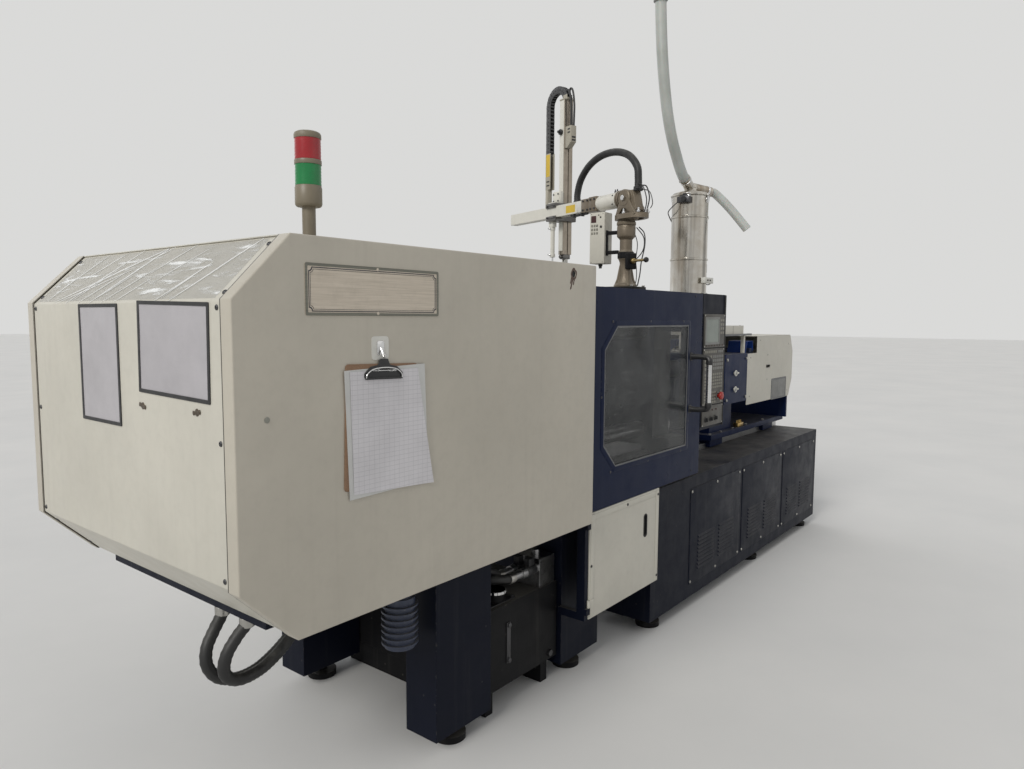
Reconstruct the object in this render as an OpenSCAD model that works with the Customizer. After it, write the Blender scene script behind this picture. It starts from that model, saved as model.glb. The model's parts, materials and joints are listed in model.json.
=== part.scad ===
/* [Clamp cover] */
// Length of the clamp cover along the machine
cover_l = 1430; // [1300:10:1600]
// Width of the clamp cover across the machine
cover_w = 1140; // [1130:5:1200]
// Height of the clamp cover
cover_h = 945; // [930:5:1050]
// Height of the clamp cover's lower edge above the floor
cover_z = 660; // [650:5:665]
// Size of the sloping corners of the clamp cover
cover_chamfer = 150; // [80:5:200]
// Thickness of the cover sheets
sheet_t = 2; // [1.5:0.5:3]
// Width of the side sheets' folded edge on the end of the cover
cover_flange = 44; // [30:1:60]

/* [Platens and tie bars] */
// Height of the screw and clamp axis above the floor
axis_z = 1120; // [1110:5:1140]
// Width and height of the three platens
platen_w = 640; // [630:5:660]
// Thickness of the fixed platen
fixed_t = 170; // [150:5:180]
// Thickness of the moving platen
moving_t = 180; // [165:5:200]
// Thickness of the rear platen
rear_t = 160; // [140:5:180]
// Diameter of the tie bars
tie_d = 75; // [65:1:80]
// Distance between tie bar centres
tie_pitch = 484; // [480:1:490]
// Diameter of the locating ring bore in the fixed platen
locating_d = 100; // [90:1:120]
// Depth of the locating ring bore
locating_depth = 25; // [15:1:30]
// Distance between the mould clamping holes
clamp_hole_pitch = 280; // [250:5:320]
// Diameter of the mould clamping holes
clamp_hole_d = 14; // [10:0.5:18]
// Depth of the mould clamping holes
clamp_hole_depth = 35; // [25:1:45]

/* [Toggle] */
// Travel of the moving platen
opening_stroke = 350; // [300:5:370]
// Largest mould height
mould_h = 450; // [400:5:460]
// Length of the main toggle links between pins
link_l = 230; // [225:1:240]
// Height of the outer toggle pins above the axis
pivot_z = 270; // [266:1:280]
// Length of the crosshead links between pins
drive_l = 160; // [150:1:165]
// Angle between a rear link and its drive pin
drive_angle = 20; // [16:1:24]
// Thickness of a toggle link
link_t = 30; // [24:1:30]
// Radius of the toggle link eyes
eye_r = 40; // [34:1:42]
// Radius of the toggle pins
pin_r = 22; // [18:1:25]
// Radius of the drive pins
drive_pin_r = 14; // [12:1:16]
// Radial running clearance of pins, bars and shafts
fit = 0.05; // [0.02:0.01:0.1]

/* [Safety doors] */
// Length of a safety door
door_l = 1010; // [980:5:1030]
// Height of a safety door
door_h = 847; // [800:1:860]
// Height of the door's lower edge above the floor
door_z = 688; // [688:1:700]
// Thickness of a safety door
door_t = 28; // [24:1:34]
// Distance from the clamp cover's side to the door's face
door_inset = 30; // [25:1:34]
// Length of the door that stays behind the clamp cover
door_lap = 29; // [20:1:40]
// Place of the door's closing edge along the machine
door_x = 50; // [40:1:52]
// Length of the window in the door
window_l = 724; // [600:2:740]
// Height of the window in the door
window_h = 553; // [450:1:600]
// Size of the window's cut corners
window_cut = 92; // [40:1:120]
// Distance from the window to the door's closing edge
window_stile = 145; // [140:1:170]
// Distance from the window to the door's lower edge
window_sill = 149; // [110:1:170]
// Thickness of the window sheet
window_t = 5; // [4:0.5:8]
// Distance between the handle bar and the door's face
handle_reach = 80; // [70:1:120]
// Length of the door handle
handle_h = 250; // [200:2:320]

/* [Base] */
// Width of the injection bed
bed_w = 1000; // [960:10:1020]
// Length of the injection bed past the fixed platen's mould face
bed_l = 2060; // [2000:10:2200]
// Height of the bed's top above the floor
bed_z = 660; // [650:5:665]
// Length of a leg along the machine
leg_l = 268; // [220:2:300]
// Width of a leg across the machine
leg_w = 138; // [110:2:150]
// Diameter of the levelling feet
foot_d = 110; // [80:2:130]
// Height of the levelling feet
foot_h = 60; // [50:1:80]
// Height of the oil tank's top above the floor
tank_z = 400; // [350:5:450]

/* [Injection unit] */
// Diameter of the barrel
barrel_d = 100; // [90:1:104]
// Diameter of the screw
screw_d = 36; // [30:1:40]
// Place of the hopper throat along the machine
hopper_x = 1030; // [1020:1:1040]
// Travel of the screw
screw_stroke = 180; // [120:5:200]
// Width of the injection housing
housing_w = 640; // [620:5:660]
// Height of the injection housing
housing_h = 291; // [280:1:300]
// Length of the injection cover behind the housing
inj_cover_l = 840; // [800:10:900]
// Diameter of the hopper loader
loader_d = 217; // [180:1:240]
// Height of the hopper loader
loader_h = 600; // [500:5:700]

/* [Signal lamp] */
// Diameter of the signal lamp
lamp_d = 70; // [50:1:90]
// Height of one lamp module
lamp_h = 54; // [40:1:70]

/* [Sprue picker] */
// Length of the picker's vertical arm
arm_l = 860; // [740:5:940]
// Distance from the picker's column to its arm
reach = 603; // [580:2:640]
// Length of the picker's cross beam
beam_l = 794; // [740:2:860]

/* [Hidden] */
$fn = 64;

// Gap at a seat between two solids that stay apart, and seam between two cover sheets
seat = 0.3;
seam = 2.5;
tiny = 0.01;

// Places along the machine, measured from the fixed platen's mould face
cover_x1 = -930;
cover_x0 = cover_x1 - cover_l;
cover_y = cover_w / 2;
cover_top = cover_z + cover_h;
door_y = cover_y - door_inset;
door_z1 = door_z + door_h;
platen_r = platen_w / 2;
platen_bottom = axis_z - platen_r;
tie_o = tie_pitch / 2;
tie_end = 230;
tie_tail = -1560;
nut_r = 60;
moving_face = -(mould_h + opening_stroke);
moving_back = moving_face - moving_t;
lug_len = 70;
lug_r = eye_r + 5;
pivot_c = moving_back - lug_len;
pivot_a = pivot_c - (2 * link_l - opening_stroke);
rear_front = pivot_a - 80;
rear_back = rear_front - rear_t;
fold = acos(1 - opening_stroke / (2 * link_l));
knee_x = pivot_a + link_l * cos(fold);
knee_z = pivot_z - link_l * sin(fold);
drive_x = pivot_a + drive_l * cos(fold + drive_angle);
drive_z = pivot_z - drive_l * sin(fold + drive_angle);
head_x = pivot_a + 2 * drive_l * cos(fold + drive_angle);
head_stroke = pivot_a + 2 * drive_l * cos(drive_angle) - head_x;

// Sideways places of the toggle's plates, measured from the centre
rear_lug_y = 133;
front_lug_y = 100;
front_lug_y2 = 170;
drive_link_y = 66;
arm_y = 62;
drive_eye_r = 30;

// Bed and beams
beam_y0 = 262;
beam_y1 = 418;
beam_z0 = bed_z - 20;
beam_z1 = 760;
way_z = 780;
beam_end = 220;
beam_x0 = cover_x0 + cover_chamfer + 10;
bed_x0 = -330;
leg_y0 = 280;
leg_y1 = leg_y0 + leg_w;
leg_x = [-1600, -907];
gate_x = -925;
outrigger_z0 = cover_z + sheet_t;
outrigger_z1 = 686;
bed_y = bed_w / 2;

// Box between two corners
module box(x0, x1, y0, y1, z0, z1) {
    translate([x0, y0, z0]) cube([x1 - x0, y1 - y0, z1 - z0]);
}

// Cylinder along the machine
module xcyl(x0, x1, r, y = 0, z = axis_z) {
    translate([x0, y, z]) rotate([0, 90, 0]) cylinder(h = x1 - x0, r = r);
}

// Cylinder across the machine
module ycyl(x, z, r, y0, y1) {
    translate([x, y0, z]) rotate([-90, 0, 0]) cylinder(h = y1 - y0, r = r);
}

// Upright cylinder
module zcyl(x, y, z0, z1, r) {
    translate([x, y, z0]) cylinder(h = z1 - z0, r = r);
}

// Flat shape in the upright plane along the machine, thick from y0 to y1
module xz_plate(y0, y1) {
    translate([0, y1, 0]) rotate([90, 0, 0]) linear_extrude(y1 - y0) children();
}

// Flat shape in the upright plane across the machine, thick from x0 to x1
module yz_plate(x0, x1) {
    translate([x0, 0, 0]) rotate([90, 0, 90]) linear_extrude(x1 - x0) children();
}

// A piece and its mirror image on the other side of the machine
module both_sides() {
    children();
    mirror([0, 1, 0]) children();
}

// Rounded bar between two points of the upright plane
module bar2d(x0, z0, x1, z1, r) {
    span = sqrt((x1 - x0) * (x1 - x0) + (z1 - z0) * (z1 - z0));
    translate([x0, z0]) circle(r = r);
    translate([x1, z1]) circle(r = r);
    translate([x0, z0]) rotate(atan2(z1 - z0, x1 - x0)) translate([0, -r]) square([span, 2 * r]);
}

// Outline of the clamp cover seen from the side, drawn inwards by i
function cover_outline(i, open) = let (k = cover_chamfer + i * (sqrt(2) - 1), x1 = cover_x1 + open)
    [[cover_x0 + i, cover_z + k], [cover_x0 + k, cover_z + i], [x1, cover_z + i],
    [x1, cover_top - i], [cover_x0 + k, cover_top - i], [cover_x0 + i, cover_top - k]];

// Strip of sheet that follows the cover's end and its sloping corners, between two depths
module end_strip(i0, i1) {
    k0 = cover_chamfer + i0 * (sqrt(2) - 1);
    k1 = cover_chamfer + i1 * (sqrt(2) - 1);
    polygon([[cover_x0 + k0, cover_z + i0], [cover_x0 + i0, cover_z + k0],
        [cover_x0 + i0, cover_top - k0], [cover_x0 + k0, cover_top - i0],
        [cover_x0 + k1, cover_top - i1], [cover_x0 + i1, cover_top - k1],
        [cover_x0 + i1, cover_z + k1], [cover_x0 + k1, cover_z + i1]]);
}

// Ring of points of a toothed wheel whose first tooth points along the angle start
function tooth_ring(n, m, start) = [for (i = [0 : n - 1], j = [0 : 3])
    let (root = j == 0 || j == 3, side = j < 2 ? -1 : 1,
        r = n * m / 2 + (root ? -1.25 : 0.9) * m,
        a = start + (i + side * (root ? 0.3 : 0.14)) * 360 / n)
    [r * cos(a), r * sin(a)]];

// Four tie bar places
module at_ties() {
    for (y = [-tie_o, tie_o], z = [-tie_o, tie_o]) translate([0, y, z]) children();
}

// Mould clamping holes of a platen, drilled along the machine from x0 to x1
module clamp_holes(x0, x1) {
    for (s = [-1, 1], t = [-1, 1]) {
        xcyl(x0, x1, clamp_hole_d / 2, s * clamp_hole_pitch / 2, axis_z + t * clamp_hole_pitch / 2);
        xcyl(x0, x1, clamp_hole_d / 2, s * clamp_hole_pitch / 4, axis_z + t * clamp_hole_pitch * 0.75);
    }
}

module clamp_bed() {
    color([0.09, 0.13, 0.25]) {
        both_sides() {
            difference() {
                box(beam_x0, beam_end, beam_y0, beam_y1, beam_z0, beam_z1);
                box(bed_x0, beam_end + 1, beam_y0 - 1, beam_y1 + 1, beam_z0 - 1, bed_z);
            }
            for (x = leg_x) {
                box(x, x + leg_l, leg_y0, leg_y1, foot_h, beam_z0);
            }
            for (x = [cover_x0 + 260, leg_x[0] + 100, cover_x1 - 70]) {
                box(x, x + 40, beam_y1 - 1, cover_y - sheet_t, outrigger_z0, outrigger_z1);
            }
            box(gate_x, gate_x + gate_w, beam_y1 - 1, door_y - 4, outrigger_z0, outrigger_z1);
        }
        for (x = [beam_x0, leg_x[0] + 100, leg_x[1] + 40]) {
            box(x, x + 60, -beam_y0 - 1, beam_y0 + 1, beam_z0, beam_z1 - 40);
        }
        // Post beside the drop-out door, with its two hinge eyes
        difference() {
            union() {
                box(gate_x, gate_x + gate_w, -door_y + 4, -door_y + 40, gate_z0, outrigger_z0 + 1);
                for (z = gate_eyes) {
                    box(gate_x, gate_hx, gate_hy - 6, -door_y + 5, z - 12, z + 12);
                    zcyl(gate_hx, gate_hy, z - 12, z + 12, 6);
                }
            }
            for (z = gate_eyes) {
                zcyl(gate_hx, gate_hy, z - 13, z + 13, 3 + fit);
            }
        }
        box(gate_x, gate_x + gate_w, -door_y + 39, -leg_y1 + 1, gate_z0, gate_z0 + 30);
    }
}

// Drop-out door's hinge line and its eyes
gate_hx = -906;
gate_w = 22;
gate_hy = -door_y - 2;
gate_z0 = 273;
gate_z1 = door_z - 2;
gate_l = 556;
gate_l0 = -899;
gate_eyes = [310, 640];
gate_slot = 24;

module injection_bed() {
    color([0.08, 0.12, 0.24]) difference() {
        box(bed_x0, bed_l, -bed_y, bed_y, foot_h, bed_z);
        // Drop-out shaft under the mould space
        box(bed_x0 - 1, -30, -240, 240, foot_h - 1, bed_z + 1);
        // Hollow of the welded box
        box(-10, bed_l - 8, -bed_y + 8, bed_y - 8, foot_h + 8, bed_z - 12);
    }
}

module levelling_feet() {
    color([0.05, 0.05, 0.05]) both_sides() {
        for (x = [leg_x[0] + leg_l / 2, leg_x[1] + leg_l / 2]) {
            zcyl(x, leg_y0 + leg_w / 2, 0, 22, foot_d / 2);
            zcyl(x, leg_y0 + leg_w / 2, 21, foot_h, 20);
        }
        for (x = [bed_x0 + 120, bed_l / 2, bed_l - 120]) {
            zcyl(x, bed_y - 75, 0, 22, foot_d / 2);
            zcyl(x, bed_y - 75, 21, foot_h, 20);
        }
    }
}

tank_x0 = -1325;
tank_x1 = -915;
tank_y = 400;

module oil_tank() {
    color([0.04, 0.04, 0.05]) {
        difference() {
            box(tank_x0, tank_x1, -tank_y, tank_y, 100, tank_z);
            box(tank_x0 + 6, tank_x1 - 6, -tank_y + 6, tank_y - 6, 106, tank_z - 8);
        }
        for (x = [tank_x0 + 20, tank_x1 - 60]) {
            box(x, x + 40, -tank_y + 30, tank_y - 30, 0, 101);
        }
        zcyl(-1229, -350, tank_z - 1, tank_z + 34, 32);
        zcyl(-1229, -350, tank_z + 33, tank_z + 46, 38);
    }
}

pump_y = 100;
pump_z = 555;
pump_x0 = -1300;
pump_x1 = -1060;
pump_r = 105;
lube_x = -1690;
lube_y = -350;
lube_z0 = 400;
lube_r = 48;

// Main pump with its ribbed motor on the tank, and the lubrication pump under the front beam
module pump_units() {
    color([0.12, 0.16, 0.3]) {
        xcyl(pump_x0, pump_x1, pump_r, pump_y, pump_z);
        for (i = [0 : 9]) {
            xcyl(pump_x0 + 14 + 22 * i, pump_x0 + 20 + 22 * i, pump_r + 8, pump_y, pump_z);
        }
        xcyl(pump_x1 - 2, pump_x1 + 60, 62, pump_y, pump_z);
        xcyl(pump_x1 + 59, pump_x1 + 130, 48, pump_y, pump_z);
        box(pump_x0 + 30, pump_x1 - 30, pump_y - 90, pump_y + 90, tank_z, pump_z - 60);
        box(pump_x0 + 60, pump_x1 - 60, pump_y + 60, pump_y + pump_r + 45, pump_z - 30, pump_z + 60);
    }
    color([0.25, 0.26, 0.28]) {
        zcyl(lube_x, lube_y, lube_z0, lube_z0 + 160, lube_r);
        for (i = [0 : 6]) {
            zcyl(lube_x, lube_y, lube_z0 + 12 + 20 * i, lube_z0 + 18 + 20 * i, lube_r + 9);
        }
        zcyl(lube_x, lube_y, lube_z0 + 156, lube_z0 + 200, lube_r - 8);
        box(lube_x - 60, lube_x + 90, lube_y - 50, lube_y + 50, lube_z0 + 190, beam_z0);
    }
}

module valve_block() {
    color([0.3, 0.31, 0.33]) {
        box(-1020, -925, -395, -290, tank_z, tank_z + 110);
        for (y = [-372, -322]) {
            xcyl(-1110, -1010, 20, y, tank_z + 72);
            xcyl(-1150, -1100, 15, y, tank_z + 72);
        }
        zcyl(-975, -342, tank_z + 100, tank_z + 130, 17);
    }
}

// Routes of the two hydraulic hoses, from the cross beam to the valve block
hose_r = 17;
hose_a = [[-2180, -300, 640], [-2180, -300, 620], [-2206, -294, 590], [-2232, -288, 550],
    [-2238, -282, 506], [-2214, -274, 472], [-2170, -266, 456], [-2110, -258, 460],
    [-2050, -252, 486], [-1996, -248, 526], [-1936, -246, 568], [-1860, -248, 598],
    [-1770, -252, 608], [-1680, -256, 600], [-1580, -256, 580], [-1480, -256, 558],
    [-1380, -256, 538], [-1310, -260, 524], [-1260, -284, 512], [-1215, -308, 496],
    [-1180, -321, 477], [-1170, -322, 472], [-1150, -322, 472]];
hose_b = [[-2180, -180, 640], [-2180, -180, 616], [-2208, -186, 580], [-2234, -192, 540],
    [-2238, -198, 494], [-2212, -204, 454], [-2160, -206, 432], [-2100, -208, 436],
    [-2044, -210, 462], [-1988, -214, 502], [-1926, -216, 536], [-1850, -218, 552],
    [-1760, -218, 552], [-1660, -218, 538], [-1560, -218, 518], [-1470, -218, 496],
    [-1380, -222, 480], [-1310, -248, 474], [-1260, -304, 473], [-1215, -350, 475],
    [-1180, -370, 473], [-1170, -372, 472], [-1150, -372, 472]];

// Direction across the tube at point i, carried along the route without a twist
function tube_side(dirs, i) = let (
    h = abs(dirs[0][2]) > 0.9 ? [0, 1, 0] : [0, 0, 1],
    u = i == 0 ? cross(dirs[0], h) : tube_side(dirs, i - 1),
    q = u - dirs[i] * (u * dirs[i])) q / norm(q);

// Round tube swept along a route of points
module tube(route, r, sides = 10) {
    n = len(route);
    dirs = [for (i = [0 : n - 1]) let (d = route[min(i + 1, n - 1)] - route[max(i - 1, 0)])
        d / norm(d)];
    across = [for (i = [0 : n - 1]) tube_side(dirs, i)];
    pts = [for (i = [0 : n - 1], j = [0 : sides - 1])
        let (u = across[i], v = cross(dirs[i], u), a = 360 * j / sides)
        route[i] + r * (cos(a) * u + sin(a) * v)];
    walls = [for (i = [0 : n - 2], j = [0 : sides - 1], half = [0, 1]) let (k = (j + 1) % sides)
        half == 0 ? [i * sides + j, (i + 1) * sides + j, (i + 1) * sides + k]
            : [i * sides + j, (i + 1) * sides + k, i * sides + k]];
    ends = [[for (j = [0 : sides - 1]) j], [for (j = [0 : sides - 1]) n * sides - 1 - j]];
    polyhedron(points = pts, faces = concat(walls, ends), convexity = 8);
}

module hydraulic_hoses() {
    color([0.04, 0.04, 0.04]) {
        tube(hose_a, hose_r);
        tube(hose_b, hose_r);
    }
}

module guide_ways() {
    color([0.6, 0.6, 0.6]) both_sides() {
        box(rear_back - 20, -30, beam_y0 + 2, beam_y0 + 52, beam_z1, way_z);
        box(rail_x0, bed_l - 5, rail_y - 20, rail_y + 20, bed_z, rail_z);
    }
}

// Injection carriage rails
rail_x0 = 760;
rail_y = 200;
rail_z = 690;

module fixed_platen() {
    color([0.1, 0.14, 0.28]) difference() {
        union() {
            box(0, fixed_t, -platen_r, platen_r, platen_bottom, axis_z + platen_r);
            both_sides() {
                box(0, fixed_t, beam_y0, beam_y1 - 10, beam_z1, platen_bottom + 40);
            }
        }
        at_ties() {
            xcyl(-1, fixed_t + 1, tie_d / 2 + seat);
        }
        xcyl(-1, locating_depth, locating_d / 2);
        translate([locating_depth - tiny, 0, axis_z]) rotate([0, 90, 0])
            cylinder(h = fixed_t - locating_depth + 1, r1 = 38, r2 = 160);
        clamp_holes(-1, clamp_hole_depth);
    }
}

module tie_bars() {
    color([0.75, 0.75, 0.76]) at_ties() {
        xcyl(tie_tail, tie_end, tie_d / 2);
        xcyl(fixed_t, tie_end - 10, nut_r);
    }
}

module side_cover(y_sign) {
    color([0.85, 0.83, 0.76]) mirror([0, y_sign > 0 ? 0 : 1, 0]) {
        xz_plate(cover_y - sheet_t, cover_y) {
            difference() {
                polygon(cover_outline(0, 0));
                if (y_sign < 0) {
                    translate([cover_x0 + 1285, cover_top - 36]) circle(r = 12);
                }
            }
        }
        xz_plate(cover_y - cover_flange, cover_y) {
            difference() {
                polygon(cover_outline(0, 0));
                polygon(cover_outline(sheet_t, 1));
            }
        }
        box(cover_x1 - sheet_t, cover_x1, cover_y - 16, cover_y, cover_z + 1, cover_top - 1);
    }
}

module side_cover_front() {
    side_cover(-1);
}

module side_cover_rear() {
    side_cover(1);
}

module end_cover() {
    y1 = cover_y - cover_flange - seam;
    color([0.84, 0.82, 0.75]) difference() {
        union() {
            xz_plate(-y1, y1) end_strip(0, sheet_t);
            both_sides() {
                xz_plate(y1 - 30, cover_y - 10) end_strip(sheet_t, 2 * sheet_t);
            }
        }
        // Screw holes along both edges
        for (y = [-y1 + 13, y1 - 13], z = [cover_z + 170, cover_z + 480, cover_z + 775]) {
            xcyl(cover_x0 - 1, cover_x0 + 6, 3, y, z);
        }
    }
}

module top_cover() {
    y1 = cover_y - cover_flange - seam;
    color([0.84, 0.82, 0.75]) {
        x0 = cover_x0 + cover_chamfer + sheet_t * (sqrt(2) - 1);
        box(x0, cover_x1, -y1, y1, cover_top - sheet_t, cover_top);
        both_sides() {
            box(x0 + sheet_t, cover_x1 - sheet_t - seat, y1 - 30, cover_y - 10,
                cover_top - 2 * sheet_t, cover_top - sheet_t);
        }
    }
}

// Sliding door runner: a bar behind the door, held by posts and by the cabinets
rail_top = door_z1 - 5;
rail_bottom = rail_top - 40;
door_x0 = door_x - door_l;
door_in = door_y - door_t;
runner_y0 = door_in - 27;
runner_y1 = door_in - 7;
runner_x0 = door_x0 - 790;
post_x = cover_x1 - 80;
post_l = 40;

module door_rails() {
    color([0.5, 0.51, 0.53]) both_sides() {
        box(runner_x0, cabinet_x0, runner_y0, runner_y1, rail_bottom, rail_top);
        for (x = [runner_x0, post_x]) {
            box(x, x + post_l, runner_y0 - 45, runner_y1 - 5, outrigger_z1, rail_bottom + 1);
        }
        box(runner_x0, post_x + post_l, runner_y0 - 45, runner_y0 - 15, outrigger_z1,
            outrigger_z1 + 30);
        box(cover_x0 + 260, runner_x0 + 1, runner_y0 - 45, runner_y0 - 15, outrigger_z1, outrigger_z1 + 30);
    }
}

cabinet_x0 = 56;
cabinet_x1 = 314;
rear_x1 = 236;
cabinet_z0 = 890;
cabinet_in = 430;
panel_t = 5;
stop_x = 242;
stop_z = 1043;
stop_r = 20;

module control_cabinet() {
    color([0.1, 0.15, 0.32]) difference() {
        union() {
            box(cabinet_x0, cabinet_x1, -door_y, -cabinet_in, cabinet_z0, door_z1);
            for (z = [cabinet_z0 + 90, door_z1 - 180]) {
                box(cabinet_x0 + 14, fixed_t - 6, -cabinet_in - 1, -platen_r, z, z + 24);
            }
        }
        box(cabinet_x0 + sheet_t, cabinet_x1 - sheet_t, -door_y + sheet_t, -cabinet_in - sheet_t,
            cabinet_z0 + sheet_t, door_z1 - sheet_t);
        ycyl(stop_x, stop_z, 9, -door_y - 1, -door_y + 10);
    }
}

module control_panel() {
    color([0.75, 0.77, 0.76]) difference() {
        union() {
            box(cabinet_x0 + 10, cabinet_x1 - 14, -door_y - panel_t, -door_y, 1280, 1440);
            box(cabinet_x0 + 10, cabinet_x1 - 14, -door_y - panel_t, -door_y, 1004, 1276);
            box(cabinet_x0 + 10, cabinet_x1 - 14, -door_y - panel_t, -door_y, 903, 1000);
            ycyl(stop_x, stop_z, 17, -door_y - panel_t - 6, -door_y);
        }
        // Screen recess
        box(81, 230, -door_y - panel_t - 1, -door_y - panel_t + 2, 1303, 1418);
        ycyl(stop_x, stop_z, 8 + fit, -door_y - panel_t - 7, -door_y + 1);
    }
}

module emergency_stop() {
    color([0.75, 0.06, 0.05]) {
        ycyl(stop_x, stop_z, 8, -door_y - panel_t - 14, -door_y + 20);
        ycyl(stop_x, stop_z, stop_r, -door_y - panel_t - 26, -door_y - panel_t - 13);
    }
}

module rear_cabinet() {
    color([0.82, 0.8, 0.74]) {
        difference() {
            box(cabinet_x0, rear_x1, cabinet_in + 10, door_y, cabinet_z0, door_z1);
            box(cabinet_x0 + sheet_t, rear_x1 - sheet_t, cabinet_in + 10 + sheet_t, door_y - sheet_t,
                cabinet_z0 + sheet_t, door_z1 - sheet_t);
        }
        for (z = [cabinet_z0 + 90, door_z1 - 180]) {
            box(cabinet_x0 + 14, fixed_t - 6, platen_r, cabinet_in + 10, z, z + 24);
        }
    }
}

lamp_x = -2000;
lamp_y = -352;

module lamp_body() {
    color([0.1, 0.1, 0.1]) {
        zcyl(lamp_x, lamp_y, cover_top, cover_top + 12, lamp_d * 0.62);
        zcyl(lamp_x, lamp_y, cover_top + 11, lamp_z0, 17);
        zcyl(lamp_x, lamp_y, lamp_z0 - 1, lamp_z0 + lamp_h, lamp_d / 2);
        zcyl(lamp_x, lamp_y, lamp_z0 + lamp_h - 1, lamp_z0 + 3 * lamp_h + 12 + 7, lamp_d / 2 - 10);
        zcyl(lamp_x, lamp_y, lamp_z0 + 2 * lamp_h, lamp_z0 + 2 * lamp_h + 12, lamp_d / 2);
        zcyl(lamp_x, lamp_y, lamp_z0 + 3 * lamp_h + 12, lamp_z0 + 3 * lamp_h + 31, lamp_d / 2);
    }
}

lamp_z0 = cover_top + 99;

module lamp_lenses() {
    color([0.7, 0.1, 0.08]) for (i = [1, 2]) {
        difference() {
            zcyl(lamp_x, lamp_y, lamp_z0 + i * lamp_h + (i - 1) * 12,
                lamp_z0 + (i + 1) * lamp_h + (i - 1) * 12, lamp_d / 2 - 1);
            zcyl(lamp_x, lamp_y, lamp_z0, lamp_z0 + 4 * lamp_h, lamp_d / 2 - 10 + seat);
        }
    }
}

module clipboard() {
    color([0.45, 0.3, 0.18]) {
        translate([-1948, 0, 1143]) rotate([0, 1.6, 0]) {
            box(-120, 120, -cover_y - 4, -cover_y, -157, 157);
            box(-66, 66, -cover_y - 12, -cover_y - 3, 118, 172);
        }
    }
}

// Outline of the door's window, grown outwards by g
window_x1 = door_x - window_stile;
window_x0 = window_x1 - window_l;
window_z0 = door_z + window_sill;
window_z1 = window_z0 + window_h;
function window_outline(g) = let (c = window_cut + g * (2 - sqrt(2)))
    [[window_x0 - g + c, window_z0 - g], [window_x1 + g, window_z0 - g],
    [window_x1 + g, window_z1 + g], [window_x0 - g + c, window_z1 + g],
    [window_x0 - g, window_z1 + g - c], [window_x0 - g, window_z0 - g + c]];

// Sheet door with folded edges, a window frame and two hangers on the runner, at the rear side
module door_shell() {
    difference() {
        union() {
            difference() {
                box(door_x0, door_x, door_in, door_y, door_z, door_z1);
                box(door_x0 + sheet_t, door_x - sheet_t, door_in - 1, door_y - sheet_t,
                    door_z + sheet_t, door_z1 - sheet_t);
            }
            xz_plate(door_y - 14, door_y - sheet_t + tiny) {
                difference() {
                    polygon(window_outline(26));
                    polygon(window_outline(24));
                }
            }
            for (x = [door_x0 + 60, door_x - 120]) {
                box(x, x + 60, runner_y0 - 9, door_y - sheet_t + tiny, rail_bottom + 10, door_z1);
            }
        }
        xz_plate(door_y - sheet_t - 1, door_y + 1) polygon(window_outline(0));
        box(door_x0 - 1, door_x + 1, runner_y0 - seat, runner_y1 + seat, rail_bottom,
            rail_top + seat);
    }
}

module door_window() {
    xz_plate(door_y - sheet_t - window_t, door_y - sheet_t) polygon(window_outline(23));
}

handle_x = -64;
handle_z = 1000;

module door_grip() {
    zcyl(handle_x, door_y + handle_reach + 14, handle_z, handle_z + handle_h, 12);
    for (z = [handle_z - 10, handle_z + handle_h - 20]) {
        box(handle_x - 14, handle_x + 14, door_y, door_y + handle_reach + 26, z, z + 30);
    }
}

module front_door() {
    color([0.1, 0.15, 0.35]) mirror([0, 1, 0]) door_shell();
}

module front_window() {
    color([0.6, 0.62, 0.62]) mirror([0, 1, 0]) door_window();
}

module front_handle() {
    color([0.05, 0.05, 0.05]) mirror([0, 1, 0]) door_grip();
}

module rear_door() {
    color([0.1, 0.15, 0.35]) {
        door_shell();
        door_grip();
    }
}

module rear_window() {
    color([0.6, 0.62, 0.62]) door_window();
}

module chute_door() {
    color([0.84, 0.82, 0.75]) {
        difference() {
            union() {
                difference() {
                    box(gate_l0, gate_l0 + gate_l, -door_y, -door_y + 25, gate_z0, gate_z1);
                    box(gate_l0 + sheet_t, gate_l0 + gate_l - sheet_t, -door_y + sheet_t,
                        -door_y + 26, gate_z0 + sheet_t, gate_z1 - sheet_t);
                }
                for (z = gate_eyes) {
                    box(gate_hx, gate_l0 + 30, gate_hy - 3, -door_y + tiny, z + 12 + seat, z + 40);
                    zcyl(gate_hx, gate_hy, z + 12 + seat, z + 40, 6);
                }
            }
            // Slot handle
            slot_hole(gate_l0 + gate_l - 122, 498 + gate_slot / 2, 593 - gate_slot / 2);
        }
        for (z = gate_eyes) {
            zcyl(gate_hx, gate_hy, z - 14, z + 13, 3);
        }
    }
}

// Upright slot through the drop-out door
module slot_hole(x, z0, z1) {
    xz_plate(-door_y - 1, -door_y + sheet_t + 1) bar2d(x, z0, x, z1, gate_slot / 2);
}

module rear_platen() {
    color([0.1, 0.14, 0.28]) difference() {
        union() {
            box(rear_back, rear_front, -platen_r, platen_r, platen_bottom, axis_z + platen_r);
            both_sides() {
                for (s = [-1, 1]) {
                    xz_plate(rear_lug_y, rear_lug_y + link_t + 4) translate([0, axis_z])
                        union() {
                            translate([pivot_a, s * pivot_z]) circle(r = lug_r);
                            translate([rear_front - 1, s * pivot_z - lug_r])
                                square([pivot_a - rear_front + 1, 2 * lug_r]);
                        }
                }
                box(rear_back, rear_front, beam_y0 + 2, beam_y0 + 52, way_z + seat,
                    platen_bottom + 1);
            }
            for (z = [-guide_z, guide_z]) {
                xcyl(rear_front - 1, guide_end, guide_r, 0, axis_z + z);
            }
        }
        at_ties() {
            xcyl(rear_back - 1, rear_front + 1, tie_d / 2 + fit);
        }
        xcyl(rear_back - 1, rear_front + 1, rod_r + seat);
        both_sides() {
            for (s = [-1, 1]) {
                ycyl(pivot_a, axis_z + s * pivot_z, pin_r + fit, rear_lug_y - 1,
                    rear_lug_y + link_t + 5);
            }
        }
    }
}

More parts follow.
